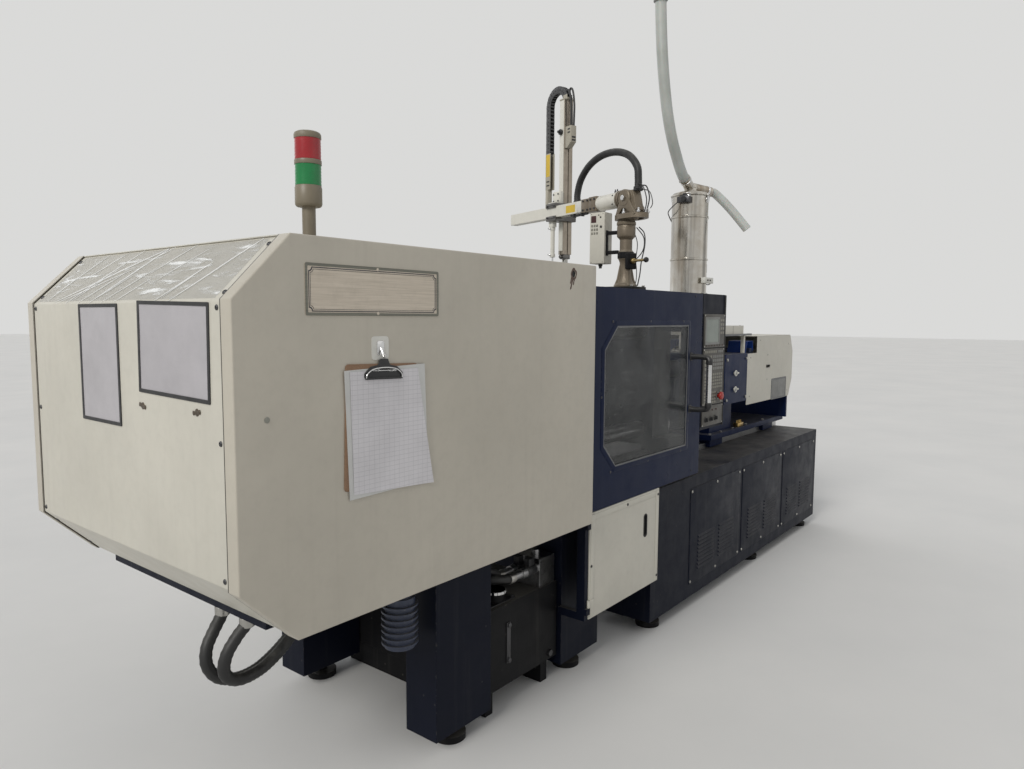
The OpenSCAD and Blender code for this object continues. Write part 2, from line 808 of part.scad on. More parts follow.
guide_z = 150;
guide_r = 20;
guide_end = moving_back + 140;
rod_r = 25;
wheel_m = 4;
wheel_n = 140;
nut_n = 31;
pinion_n = 15;
wheel_x0 = rear_back - 40;

module adjusting_drive() {
    color([0.35, 0.35, 0.36]) translate([0, 0, axis_z]) {
        yz_plate(wheel_x0, rear_back) difference() {
            polygon(tooth_ring(wheel_n, wheel_m, 0));
            circle(r = 255);
        }
        for (k = [0 : 3]) {
            a = 45 + 90 * k;
            translate([0, (tie_o) * sqrt(2) * cos(a), tie_o * sqrt(2) * sin(a)])
                yz_plate(wheel_x0, rear_back) difference() {
                    polygon(tooth_ring(nut_n, wheel_m, a + 180));
                    circle(r = tie_d / 2 + fit);
                }
        }
        // Motor with its pinion on a bracket that stands on the platen
        pinion_z = (wheel_n + pinion_n) * wheel_m / 2;
        translate([0, 0, pinion_z]) {
            yz_plate(wheel_x0, rear_back - 2) polygon(tooth_ring(pinion_n, wheel_m, 270 + 12));
            xcyl(wheel_x0 - 25, wheel_x0 + 1, 12, 0, 0);
            xcyl(wheel_x0 - 130, wheel_x0 - 20, 45, 0, 0);
            box(wheel_x0 - 22, wheel_x0 - 10, -55, 55, -50, 60);
            box(wheel_x0 - 22, rear_back + 60, -55, 55, 48, 60);
            box(rear_back + 1, rear_back + 60, -55, 55, platen_r - pinion_z, 49);
        }
    }
}

cyl_end = -1930;
cyl_r = 62.5;
piston_r = 45;
piston_x0 = head_x - 705;

module clamp_cylinder() {
    color([0.12, 0.16, 0.3]) difference() {
        union() {
            xcyl(cyl_end, rear_back, cyl_r);
            box(cyl_end, cyl_end + 30, -80, 80, axis_z - 80, axis_z + 80);
            box(rear_back - 36, rear_back, -95, 95, axis_z - 95, axis_z + 95);
        }
        xcyl(cyl_end + 18, rear_back + 1, piston_r + fit);
    }
}

// Rear link, upper when s is 1 and lower when s is -1
module rear_link(s) {
    color([0.45, 0.46, 0.48]) both_sides() {
        for (y = [front_lug_y, front_lug_y2]) {
            xz_plate(y, y + link_t) translate([0, axis_z]) {
                bar2d(pivot_a, s * pivot_z, knee_x, s * knee_z, eye_r);
                if (y == front_lug_y) {
                    bar2d(pivot_a, s * pivot_z, drive_x, s * drive_z, drive_eye_r);
                }
            }
        }
        ycyl(pivot_a, axis_z + s * pivot_z, pin_r, front_lug_y - 2, front_lug_y2 + link_t + 2);
        ycyl(knee_x, axis_z + s * knee_z, pin_r, front_lug_y - 2, front_lug_y2 + link_t + 2);
        ycyl(drive_x, axis_z + s * drive_z, drive_pin_r, drive_link_y - 2, front_lug_y + 1);
    }
}

// Front link with the pin that turns in the moving platen
module front_link(s) {
    color([0.5, 0.51, 0.53]) both_sides() {
        xz_plate(rear_lug_y, rear_lug_y + link_t + 4) translate([0, axis_z]) difference() {
            bar2d(knee_x, s * knee_z, pivot_c, s * pivot_z, eye_r);
            translate([knee_x, s * knee_z]) circle(r = pin_r + fit);
        }
        ycyl(pivot_c, axis_z + s * pivot_z, pin_r, front_lug_y - 2, front_lug_y2 + link_t + 2);
    }
}

// Drive link between the rear link and the crosshead
module drive_link(s) {
    color([0.55, 0.56, 0.58]) both_sides() {
        xz_plate(drive_link_y, drive_link_y + link_t) translate([0, axis_z]) difference() {
            bar2d(drive_x, s * drive_z, head_x, s * pivot_z, drive_eye_r);
            translate([drive_x, s * drive_z]) circle(r = drive_pin_r + fit);
            translate([head_x, s * pivot_z]) circle(r = drive_pin_r + fit);
        }
    }
}

module upper_rear_link() {
    rear_link(1);
}

module upper_front_link() {
    front_link(1);
}

module upper_drive_link() {
    drive_link(1);
}

module lower_rear_link() {
    rear_link(-1);
}

module lower_front_link() {
    front_link(-1);
}

module lower_drive_link() {
    drive_link(-1);
}

module crosshead() {
    color([0.4, 0.41, 0.43]) {
        difference() {
            box(head_x - 30, head_x + 30, -arm_y, arm_y, axis_z - pivot_z - 30,
                axis_z + pivot_z + 30);
            for (z = [-guide_z, guide_z]) {
                xcyl(head_x - 31, head_x + 31, guide_r + fit, 0, axis_z + z);
            }
        }
        for (s = [-1, 1]) {
            ycyl(head_x, axis_z + s * pivot_z, drive_pin_r, -drive_link_y - link_t - 1,
                drive_link_y + link_t + 1);
        }
        xcyl(piston_x0, head_x - 29, rod_r);
        xcyl(piston_x0, piston_x0 + 36, piston_r);
    }
}

core_r = 20;

module moving_platen() {
    color([0.1, 0.14, 0.28]) difference() {
        union() {
            box(moving_back, moving_face, -platen_r, platen_r, platen_bottom, axis_z + platen_r);
            both_sides() {
                for (s = [-1, 1], y = [front_lug_y, front_lug_y2]) {
                    xz_plate(y, y + link_t) translate([0, axis_z]) union() {
                        translate([pivot_c, s * pivot_z]) circle(r = lug_r);
                        translate([pivot_c, s * pivot_z - lug_r])
                            square([lug_len + 1, 2 * lug_r]);
                    }
                }
                box(moving_back - 60, moving_face, beam_y0 + 2, beam_y0 + 52, way_z + seat,
                    platen_bottom + 1);
                box(moving_back - 60, moving_back + 1, beam_y0 + 2, beam_y0 + 52,
                    platen_bottom, platen_bottom + 20);
            }
        }
        at_ties() {
            xcyl(moving_back - 1, moving_face + 1, tie_d / 2 + fit);
        }
        xcyl(moving_back - 1, moving_face + 1, core_r + fit);
        for (z = [-guide_z, guide_z]) {
            xcyl(moving_back - 1, moving_back + 145, 28, 0, axis_z + z);
        }
        both_sides() {
            for (s = [-1, 1]) {
                ycyl(pivot_c, axis_z + s * pivot_z, pin_r + fit, front_lug_y - 1,
                    front_lug_y2 + link_t + 1);
            }
            // Lightening pocket in the back
            box(moving_back - 1, moving_back + 90, 225, platen_r - 20, axis_z - 150, axis_z + 150);
        }
        clamp_holes(moving_face - clamp_hole_depth, moving_face + 1);
    }
}

ram_x0 = moving_back - 130;

module ejector_cylinder() {
    color([0.2, 0.21, 0.23]) difference() {
        union() {
            xcyl(ram_x0, moving_back, 55);
            xcyl(moving_back - 16, moving_back, 78);
        }
        xcyl(ram_x0 + 12, moving_back + 1, 40 + fit);
    }
}

module ejector() {
    color([0.7, 0.7, 0.7]) {
        xcyl(ram_x0 + 20, moving_face - 30, core_r);
        xcyl(ram_x0 + 14, ram_x0 + 26, 40);
    }
}

// Injection unit: base slab with runner blocks, and the cast housing that holds the barrel
slab_x0 = 820;
slab_x1 = 2048;
slab_z1 = 742;
house_x0 = 870;
house_x1 = 1210;
house_z1 = axis_z + 91;
house_y = housing_w / 2;
ram_y = 210;
ram_z = 1065;
ram_rod_r = 22;
ram_r = 40;
ram_end = 610;
plate_x0 = house_x1 + 110;
plate_t = 60;
plate_y = 290;
barrel_x1 = 1100;
throat_r = 25;

module injection_housing() {
    color([0.1, 0.16, 0.36]) difference() {
        union() {
            box(house_x0, house_x1, -house_y, house_y, house_z1 - housing_h, house_z1);
            box(house_x0 + 10, house_x1 - 10, -230, 230, slab_z1 - 1, house_z1 - housing_h + 1);
            box(slab_x0, slab_x1, -270, 270, slab_z1 - 30, slab_z1);
            both_sides() {
                for (x = [slab_x0 + 40, slab_x1 - 320]) {
                    box(x, x + 180, rail_y - 45, rail_y + 45, bed_z + 6, slab_z1 - 29);
                }
            }
            box(slab_x1 - 90, slab_x1 - 70, -house_y + sheet_t, house_y - sheet_t, slab_z1 - 1,
                house_z1 - 200);
        }
        both_sides() {
            box(slab_x0 + 30, slab_x1 - 100, rail_y - 20 - fit, rail_y + 20 + fit, bed_z,
                rail_z + seat);
            xcyl(house_x0 - 1, house_x1 + 1, ram_rod_r + seat, ram_y, ram_z);
        }
        xcyl(house_x0 - 1, barrel_x1 + seat, barrel_d / 2 + seat);
        xcyl(barrel_x1 - 1, house_x1 + 1, screw_d / 2 + 3);
        zcyl(hopper_x, 0, axis_z, house_z1 + 1, throat_r);
    }
}

module barrel() {
    color([0.55, 0.53, 0.5]) difference() {
        union() {
            xcyl(130, barrel_x1, barrel_d / 2);
            translate([70, 0, axis_z]) rotate([0, 90, 0])
                cylinder(h = 60 + tiny, r1 = 22, r2 = barrel_d / 2);
            xcyl(locating_depth + seat, 71, 22);
        }
        xcyl(150, barrel_x1 + 1, screw_d / 2 + fit);
        xcyl(0, 151, 4);
        zcyl(hopper_x, 0, axis_z, axis_z + barrel_d, throat_r);
    }
}

module heater_bands() {
    color([0.5, 0.5, 0.48]) for (i = [0 : 3]) {
        x = 190 + 105 * i;
        difference() {
            union() {
                xcyl(x, x + 85, barrel_d / 2 + 14);
                box(x + 25, x + 60, -18, 18, axis_z + barrel_d / 2 + 8, axis_z + barrel_d / 2 + 44);
            }
            xcyl(x - 1, x + 86, barrel_d / 2 + seat);
        }
    }
}

module injection_cylinders() {
    color([0.12, 0.16, 0.3]) both_sides() {
        difference() {
            union() {
                xcyl(ram_end, house_x0, ram_r + 12, ram_y, ram_z);
                xcyl(house_x0 - 24, house_x0, ram_r + 30, ram_y, ram_z);
            }
            xcyl(ram_end + 14, house_x0 + 1, ram_r + fit, ram_y, ram_z);
        }
    }
}

module thrust_plate() {
    color([0.2, 0.22, 0.28]) {
        difference() {
            box(plate_x0, plate_x0 + plate_t, -plate_y, plate_y, axis_z - 160, axis_z + 115);
            xcyl(plate_x0 - 1, plate_x0 + plate_t + 1, shaft_r + fit);
        }
        both_sides() {
            xcyl(ram_end + 30, plate_x0 + 1, ram_rod_r, ram_y, ram_z);
            xcyl(ram_end + 30, ram_end + 62, ram_r, ram_y, ram_z);
        }
    }
}

shaft_r = 16;

module drive_motor() {
    x = plate_x0 + plate_t;
    color([0.16, 0.17, 0.2]) difference() {
        union() {
            xcyl(x, x + 30, 115);
            xcyl(x + 29, x + 210, 92);
            xcyl(x + 209, x + 235, 60);
            box(x + 60, x + 150, -40, 40, axis_z + 80, axis_z + 125);
        }
        xcyl(x - 1, x + 80, shaft_r + 1);
    }
}

module screw() {
    color([0.7, 0.7, 0.68]) {
        xcyl(200, plate_x0 + plate_t + 70, screw_d / 2 - 4);
        translate([152, 0, axis_z]) rotate([0, 90, 0]) cylinder(h = 49, r1 = 5, r2 = screw_d / 2 - 4);
        for (i = [0 : 21]) {
            xcyl(204 + screw_d * i, 209 + screw_d * i, screw_d / 2);
        }
        xcyl(barrel_x1 - 80, plate_x0, screw_d / 2);
        xcyl(plate_x0 - 1, plate_x0 + plate_t + 70, shaft_r);
    }
}

hood_z0 = 888;
hood_z1 = 1311;

module injection_cover() {
    x1 = house_x1 + inj_cover_l;
    cut = 110;
    color([0.84, 0.82, 0.75]) difference() {
        xz_plate(-house_y, house_y) polygon([[house_x1, hood_z0], [x1 - 60, hood_z0],
            [x1, hood_z0 + 120], [x1, hood_z1 - cut], [x1 - 60, hood_z1], [house_x1, hood_z1]]);
        xz_plate(-house_y + sheet_t, house_y - sheet_t) polygon([[house_x1 - 1, hood_z0 - 1],
            [x1 - 61, hood_z0 - 1], [x1 - sheet_t, hood_z0 + 120],
            [x1 - sheet_t, hood_z1 - cut], [x1 - 61, hood_z1 - sheet_t],
            [house_x1 - 1, hood_z1 - sheet_t]]);
        both_sides() {
            xz_plate(house_y - sheet_t - 1, house_y + 1) bar2d(1545, 1113, 1600, 1113, 9);
        }
        // Cut back over the throat
        box(house_x1 - 1, house_x1 + 158, -house_y - 1, house_y + 1, hood_z1 - 105, hood_z1 + 1);
    }
}

// Plate over the hopper throat with its flat box
guard_z1 = house_z1 + 115;
guard_z2 = guard_z1 + 51;
guard_x0 = hopper_x - 180;
guard_x1 = hopper_x + 260;
guard_y = 310;

module throat_guard() {
    color([0.86, 0.84, 0.77]) difference() {
        union() {
            box(guard_x0, guard_x1, -guard_y, guard_y, guard_z1 - 6, guard_z1);
            both_sides() {
                for (x = [house_x0, house_x1 - 30]) {
                    box(x, x + 20, guard_y - 25, guard_y - 5, house_z1, guard_z1 - 5);
                }
            }
            box(guard_x0 + 5, guard_x0 + 330, -guard_y + 10, 120, guard_z1 - 1, guard_z2);
        }
        zcyl(hopper_x, 0, guard_z1 - 7, guard_z2 + 1, 60 + seat);
        box(guard_x0 + 7, guard_x0 + 328, -guard_y + 12, 118, guard_z1, guard_z2 - sheet_t);
    }
}

loader_z0 = 1560;
loader_r = loader_d / 2;
hopper_z1 = loader_z0;

module hopper() {
    color([0.72, 0.72, 0.73]) difference() {
        union() {
            zcyl(hopper_x, 0, house_z1, house_z1 + 16, 90);
            zcyl(hopper_x, 0, house_z1, 1400, 45);
            translate([hopper_x, 0, 1399]) cylinder(h = hopper_z1 - 1399 - 12, r1 = 45, r2 = loader_r - 2);
            zcyl(hopper_x, 0, hopper_z1 - 14, hopper_z1, loader_r + 12);
        }
        zcyl(hopper_x, 0, house_z1 - 1, 1401, throat_r);
        translate([hopper_x, 0, 1400]) cylinder(h = hopper_z1 - 1400 - 13, r1 = throat_r, r2 = loader_r - 6);
        zcyl(hopper_x, 0, hopper_z1 - 15, hopper_z1 + 1, loader_r - 8);
    }
}

loader_z1 = loader_z0 + loader_h;

module loader() {
    color([0.76, 0.75, 0.72]) difference() {
        union() {
            zcyl(hopper_x, 0, loader_z0, loader_z1, loader_r);
            zcyl(hopper_x, 0, loader_z0, loader_z0 + 10, loader_r + 12);
            for (z = [loader_z0 + 208, loader_z0 + 460]) {
                zcyl(hopper_x, 0, z, z + 12, loader_r + 5);
            }
            zcyl(hopper_x, 0, loader_z1 - 8, loader_z1, loader_r + 8);
        }
        zcyl(hopper_x, 0, loader_z0 - 1, loader_z1 - 6, loader_r - 2);
        zcyl(hopper_x, 0, loader_z1 - 7, loader_z1 + 1, 30);
    }
}

module loader_fittings() {
    color([0.65, 0.65, 0.66]) {
        // Lid with its suction elbow and outlet
        zcyl(hopper_x, 0, loader_z1, loader_z1 + 18, loader_r - 4);
        zcyl(hopper_x, 0, loader_z1 + 17, loader_z1 + 60, 38);
        translate([hopper_x, 0, loader_z1 + 44]) rotate([0, -62, 0]) cylinder(h = 100, r = 34);
        translate([hopper_x, 0, loader_z1 + 52]) rotate([0, 98, -30]) cylinder(h = 150, r = 30);
        difference() {
            union() {
                // Lid clamps
                both_sides() {
                    box(hopper_x - 14, hopper_x + 14, loader_r - 6, loader_r + 26,
                        loader_z1 - 40, loader_z1 + 26);
                }
                // Level switch, its cable box and the valve
                box(hopper_x + loader_r - 12, hopper_x + loader_r + 75, -60, 30,
                    loader_z0 + 140, loader_z0 + 200);
                box(hopper_x - 60, hopper_x + 60, -loader_r - 30, -loader_r + 20,
                    loader_z0 + 70, loader_z0 + 105);
                box(hopper_x - loader_r - 48, hopper_x - loader_r + 18, -60, 20,
                    loader_z1 - 58, loader_z1 - 14);
            }
            zcyl(hopper_x, 0, loader_z0, loader_z1, loader_r + seat);
            zcyl(hopper_x, 0, loader_z1 - 8, loader_z1, loader_r + 8 + seat);
        }
    }
}

// Conveying hoses: the long one rises out of reach to its coupling, the short one hangs free
suction_r = 32;
suction = [[941, 0, 2251.5], [920, 0, 2262.6], [876, 0, 2304], [826, 0, 2366], [780, 0, 2430],
    [738, 0, 2504], [702, 0, 2586], [672, 0, 2680], [645, 0, 2784], [622, 0, 2900],
    [606, 0, 3020], [592, 0, 3160]];
vent_r = 27;
vent = [[1159.5, -74.8, 2191], [1180, -86.6, 2187.7], [1204, -106, 2166], [1228, -142, 2124],
    [1248, -182, 2074], [1266, -224, 2018], [1282, -262, 1966]];

module loader_hose() {
    color([0.78, 0.79, 0.77]) {
        tube(suction, suction_r, 12);
        tube([[593, 0, 3150], [588, 0, 3200]], suction_r + 7, 12);
        tube(vent, vent_r, 12);
    }
}

// Sprue picker on the fixed platen; its own x runs along the cross beam
col_x = 75;
col_y = -110;
park = 71.6;
head_z0 = 1880;
axis_beam = 2012;
beam_w = 50;
beam_t = 62;
beam_a0 = 235;
slide_l = 90;
slide_a = reach - slide_l / 2;
arm_a = slide_a + slide_l / 2;
arm_side = -72;
arm_w = 45;
arm_t = 60;
arm_z1 = 2640;
arm_z0 = arm_z1 - arm_l;

module at_picker() {
    translate([col_x, col_y, 0]) rotate([0, 0, park]) children();
}

module picker_base() {
    top = axis_z + platen_r;
    color([0.08, 0.08, 0.09]) {
        box(15, 160, -185, 80, top, top + 22);
        box(30, 130, -165, 60, top + 21, top + 120);
        box(8, 155, -185, 88, top + 119, top + 136);
        difference() {
            box(col_x - 30, col_x + 30, col_y - 30, col_y + 30, top + 135, head_z0);
            zcyl(col_x, col_y, head_z0 - 70, head_z0 + 1, 16 + fit);
        }
        // Stop screw with its knob
        at_picker() {
            xcyl(-150, -29, 7, 0, 1702);
            xcyl(-158, -140, 13, 0, 1702);
            box(-46, -28, -30, 30, 1660, 1745);
        }
        // Hand set on its stay
        box(col_x - 10, col_x + 10, col_y + 29, 3, 1740, 1860);
        box(50, 125, 2, 90, 1696, 1955);
    }
}

module picker_head() {
    color([0.5, 0.42, 0.33]) at_picker() {
        zcyl(0, 0, head_z0 - 66, head_z0 + 2, 16);
        zcyl(0, 0, head_z0 + seat, head_z0 + 40, 48);
        difference() {
            xz_plate(-44, 44) polygon([[-60, head_z0 + 22], [44, head_z0 + 22],
                [44, axis_beam + 34], [-96, axis_beam + 34], [-132, axis_beam + 8],
                [-132, axis_beam - 40], [-100, head_z0 + 40]]);
            ycyl(-78, axis_beam - 34, 24, -45, 45);
        }
        xcyl(40, 60, 46, 0, axis_beam);
        xcyl(58, beam_a0 - 18, 40, 0, axis_beam);
        xcyl(beam_a0 - 20, beam_a0, 46, 0, axis_beam);
        box(beam_a0 - 1, beam_a0 + beam_l, -beam_w / 2, beam_w / 2,
            axis_beam - beam_t / 2, axis_beam + beam_t / 2);
    }
}

module picker_carriage() {
    color([0.2, 0.2, 0.22]) at_picker() difference() {
        union() {
            box(slide_a, slide_a + slide_l, arm_side - arm_t / 2 - 14, beam_w / 2 + 8,
                axis_beam - beam_t / 2 - 18, axis_beam + beam_t / 2 + 18);
            // Buffer block over the beam
            box(slide_a + 17, slide_a + slide_l, arm_side + arm_t / 2 + 4, -14,
                axis_beam + beam_t / 2 + 17, axis_beam + beam_t / 2 + 88);
            // Bracket of the cable chain
            box(slide_a + slide_l - 1, bracket_a, arm_side - 16, arm_side + 16,
                axis_beam + 20, axis_beam + 32);
            box(bracket_a - 22, bracket_a, arm_side - 16, arm_side + 16,
                axis_beam + 20, chain_z0 - 206);
            box(bracket_a - 46, bracket_a, arm_side - 16, arm_side + 16,
                chain_z0 - 207, chain_z0);
        }
        box(slide_a - 1, slide_a + slide_l + 1, -beam_w / 2 - fit, beam_w / 2 + fit,
            axis_beam - beam_t / 2 - fit, axis_beam + beam_t / 2 + fit);
        box(slide_a - 1, slide_a + slide_l + 1, beam_w / 2 - 1, beam_w / 2 + 9,
            axis_beam - beam_t / 2 + 9, axis_beam + beam_t / 2 - 9);
        box(arm_a - arm_w / 2 - fit, arm_a + arm_w / 2 + fit, arm_side - arm_t / 2 - fit,
            arm_side + arm_t / 2 + fit, axis_beam - 100, axis_beam + 100);
    }
}

chain_z1 = arm_z1 - 10;
chain_z0 = chain_z1 - 258;
chain_r = 104;
chain_t = 44;
chain_a = slide_a + slide_l + 131 - chain_r;
bracket_a = chain_a + chain_r - 1;

module picker_arm() {
    color([0.6, 0.61, 0.62]) at_picker() {
        difference() {
            box(arm_a - arm_w / 2, arm_a + arm_w / 2, arm_side - arm_t / 2,
                arm_side + arm_t / 2, arm_z0, arm_z1);
            for (a = [arm_a - arm_w / 2 - 1, arm_a + arm_w / 2 - 5]) {
                box(a, a + 6, arm_side - 6, arm_side + 6, arm_z0 - 1, arm_z1 + 1);
            }
        }
        // Gripper under the arm
        box(arm_a - 20, arm_a + 20, arm_side - 23, arm_side + 23, arm_z0 - 26, arm_z0 + 1);
        for (s = [-1, 1]) {
            box(arm_a + s * 12 - 6, arm_a + s * 12 + 6, arm_side - 9, arm_side + 9, arm_z0 - 74,
                arm_z0 - 25);
        }
        // Valve box near the top, and the chain's holder
        box(arm_a - arm_w / 2 - 56, arm_a - arm_w / 2 + 1, arm_side - 12, arm_side + arm_t / 2 - 3,
            arm_z1 - 270, arm_z1 - 152);
        box(arm_a - arm_w / 2 - 10, arm_a + arm_w / 2, arm_side - 20, arm_side + 20, arm_z1 - 1,
            arm_z1 + 12);
    }
}

// Hose over the head
arch_r = 19;
arch = [[201, 269, 2043], [201, 269, 2090], [192, 242, 2160], [171, 177, 2222],
    [140, 84, 2256], [104, -24, 2256], [72, -118, 2222], [53, -176, 2160], [50, -186, 2100],
    [50, -186, 2046]];

module picker_hose() {
    color([0.04, 0.04, 0.04]) tube(arch, arch_r);
}

// Cable chain from the carriage's bracket up and over to the top of the arm
module cable_chain() {
    color([0.3, 0.3, 0.31]) at_picker() xz_plate(arm_side - 16, arm_side + 16) difference() {
        union() {
            translate([chain_a, chain_z1]) circle(r = chain_r);
            translate([chain_a + chain_r - chain_t, chain_z0])
                square([chain_t, chain_z1 - chain_z0]);
            translate([chain_a - chain_r, arm_z1 + 12])
                square([chain_t, 20]);
        }
        translate([chain_a, chain_z1]) circle(r = chain_r - chain_t);
        translate([chain_a - chain_r - 1, chain_z1 - chain_r - 1])
            square([2 * chain_r - chain_t + 1, arm_z1 + 12 - chain_z1 + chain_r + 1]);
    }
}

clamp_bed();
injection_bed();
levelling_feet();
oil_tank();
pump_units();
valve_block();
hydraulic_hoses();
guide_ways();
fixed_platen();
tie_bars();
side_cover_front();
side_cover_rear();
end_cover();
top_cover();
door_rails();
control_cabinet();
control_panel();
emergency_stop();
rear_cabinet();
lamp_body();
lamp_lenses();
clipboard();
front_door();
front_window();
front_handle();
rear_door();
rear_window();
chute_door();
rear_platen();
adjusting_drive();
clamp_cylinder();
upper_rear_link();
upper_front_link();
upper_drive_link();
lower_rear_link();
lower_front_link();
lower_drive_link();
crosshead();
moving_platen();
ejector_cylinder();
ejector();
injection_housing();
barrel();
heater_bands();
injection_cylinders();
thrust_plate();
drive_motor();
screw();
injection_cover();
throat_guard();
hopper();
loader();
loader_fittings();
loader_hose();
picker_base();
picker_head();
picker_carriage();
picker_arm();
picker_hose();
cable_chain();
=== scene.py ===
import json
import math
import bmesh
import bpy
from mathutils import Matrix, Vector, noise


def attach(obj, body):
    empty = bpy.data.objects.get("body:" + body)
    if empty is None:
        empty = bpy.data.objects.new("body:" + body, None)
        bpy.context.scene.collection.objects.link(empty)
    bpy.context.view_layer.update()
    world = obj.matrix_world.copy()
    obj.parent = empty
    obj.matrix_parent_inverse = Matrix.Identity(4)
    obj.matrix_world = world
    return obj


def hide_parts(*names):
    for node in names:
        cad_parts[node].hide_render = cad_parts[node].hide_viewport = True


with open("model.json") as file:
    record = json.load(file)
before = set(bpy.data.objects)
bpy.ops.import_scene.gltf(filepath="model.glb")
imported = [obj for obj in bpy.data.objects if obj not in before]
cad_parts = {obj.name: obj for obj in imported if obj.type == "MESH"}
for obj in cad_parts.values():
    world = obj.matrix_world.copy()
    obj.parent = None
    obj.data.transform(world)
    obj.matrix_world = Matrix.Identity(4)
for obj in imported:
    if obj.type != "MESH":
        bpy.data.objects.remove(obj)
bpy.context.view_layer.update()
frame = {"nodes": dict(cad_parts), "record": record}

scene = bpy.context.scene
scene.view_settings.view_transform = "Standard"
MM = 0.001


# ---- Camera ----

PHOTO_WIDTH, SENSOR = 1024, 36.0
FOCAL_PIXELS = 735.3709
CAMERA_AT = (-3.20227, -1.99617, 1.41911)
CAMERA_TURN = (-51.437018, 5.213757, 0.319664)  # azimuth, elevation and roll in degrees


def add_camera():
    """Camera at the photograph's place and angle."""
    az, el, roll = [math.radians(v) for v in CAMERA_TURN]
    back = Vector((math.sin(az) * math.cos(el), -math.cos(az) * math.cos(el), math.sin(el)))
    right = (-back).cross(Vector((0, 0, 1))).normalized()
    up = right.cross(-back)
    r2 = right * math.cos(roll) + up * math.sin(roll)
    u2 = up * math.cos(roll) - right * math.sin(roll)
    data = bpy.data.cameras.new("camera")
    data.sensor_width = SENSOR
    data.lens = FOCAL_PIXELS / PHOTO_WIDTH * SENSOR
    data.clip_start = 0.05
    data.clip_end = 200
    cam = bpy.data.objects.new("camera", data)
    m = Matrix((r2, u2, back)).transposed().to_4x4()
    m.translation = Vector(CAMERA_AT)
    cam.matrix_world = m
    scene.collection.objects.link(cam)
    scene.camera = cam


add_camera()


# ---- Material helpers ----

mats = {}


class Finish:
    """Node tree of one material, with short calls for the nodes that all of them use."""

    def __init__(self, name, **sockets):
        self.name = name
        self.mat = bpy.data.materials.new(name)
        self.mat.use_nodes = True
        self.tree = self.mat.node_tree
        self.tree.nodes.clear()
        self.out = self.add("ShaderNodeOutputMaterial")
        self.bsdf = self.add("ShaderNodeBsdfPrincipled")
        self.link(self.bsdf.outputs[0], self.out.inputs[0])
        self.obj = self.add("ShaderNodeTexCoord").outputs["Object"]
        self.geo = self.add("ShaderNodeNewGeometry")
        for key, value in sockets.items():
            self.bsdf.inputs[key.replace("_", " ")].default_value = value

    def add(self, kind, **props):
        n = self.tree.nodes.new(kind)
        for key, value in props.items():
            setattr(n, key, value)
        return n

    def link(self, a, b):
        self.tree.links.new(a, b)

    def feed(self, socket, value):
        if isinstance(value, bpy.types.NodeSocket):
            self.link(value, socket)
        elif isinstance(value, tuple) and len(value) == 3 and socket.type == "RGBA":
            socket.default_value = (*value, 1)
        else:
            socket.default_value = value

    def place(self, scale=(1, 1, 1), turn=(0, 0, 0)):
        m = self.add("ShaderNodeMapping")
        self.link(self.obj, m.inputs["Vector"])
        m.inputs["Scale"].default_value = scale
        m.inputs["Rotation"].default_value = turn
        return m.outputs[0]

    def noise(self, scale, detail=3.0, rough=0.55, vec=None, warp=0.0):
        n = self.add("ShaderNodeTexNoise")
        self.link(vec or self.obj, n.inputs["Vector"])
        n.inputs["Scale"].default_value = scale
        n.inputs["Detail"].default_value = detail
        n.inputs["Roughness"].default_value = rough
        n.inputs["Distortion"].default_value = warp
        return n.outputs["Fac"]

    def cells(self, scale):
        n = self.add("ShaderNodeTexVoronoi", feature="F1")
        self.link(self.obj, n.inputs["Vector"])
        n.inputs["Scale"].default_value = scale
        return n.outputs["Distance"]

    def wave(self, scale, vec=None, direction="X", warp=0.0):
        n = self.add("ShaderNodeTexWave", bands_direction=direction, wave_profile="SIN")
        self.link(vec or self.obj, n.inputs["Vector"])
        n.inputs["Scale"].default_value = scale
        n.inputs["Distortion"].default_value = warp
        return n.outputs["Fac"]

    def span(self, value, lo, hi, a=0.0, b=1.0):
        n = self.add("ShaderNodeMapRange")
        self.feed(n.inputs["Value"], value)
        n.inputs["From Min"].default_value = lo
        n.inputs["From Max"].default_value = hi
        n.inputs["To Min"].default_value = a
        n.inputs["To Max"].default_value = b
        return n.outputs[0]

    def maths(self, op, a, b=0.0):
        n = self.add("ShaderNodeMath", operation=op)
        self.feed(n.inputs[0], a)
        self.feed(n.inputs[1], b)
        return n.outputs[0]

    def blend(self, fac, a, b):
        n = self.add("ShaderNodeMix", data_type="RGBA", blend_type="MIX")
        self.feed(n.inputs["Factor"], fac)
        self.feed(n.inputs["A"], a)
        self.feed(n.inputs["B"], b)
        return n.outputs["Result"]

    def upward(self, lo=0.3, hi=0.95):
        n = self.add("ShaderNodeSeparateXYZ")
        self.link(self.geo.outputs["Normal"], n.inputs[0])
        return self.span(n.outputs[2], lo, hi)

    def edges(self, radius):
        """Rounded normal and a mask that is 1 on edges."""
        n = self.add("ShaderNodeBevel", samples=4)
        n.inputs["Radius"].default_value = radius
        d = self.add("ShaderNodeVectorMath", operation="DOT_PRODUCT")
        self.link(n.outputs[0], d.inputs[0])
        self.link(self.geo.outputs["Normal"], d.inputs[1])
        return n.outputs[0], self.span(self.maths("SUBTRACT", 1.0, d.outputs["Value"]), 0.02, 0.3)

    def bump(self, height, distance, strength=1.0, normal=None):
        n = self.add("ShaderNodeBump")
        self.feed(n.inputs["Height"], height)
        n.inputs["Distance"].default_value = distance
        n.inputs["Strength"].default_value = strength
        if normal is not None:
            self.link(normal, n.inputs["Normal"])
        return n.outputs[0]

    def done(self, colour, rough, normal=None, alpha=None):
        """Connects what was made to the surface and enters the material in mats."""
        for key, value in (("Base Color", colour), ("Roughness", rough), ("Normal", normal),
                           ("Alpha", alpha)):
            if value is not None:
                self.feed(self.bsdf.inputs[key], value)
        mats[self.name] = self.mat
        return self.mat


def scaled(c, k):
    return tuple(min(1.0, v * k) for v in c)


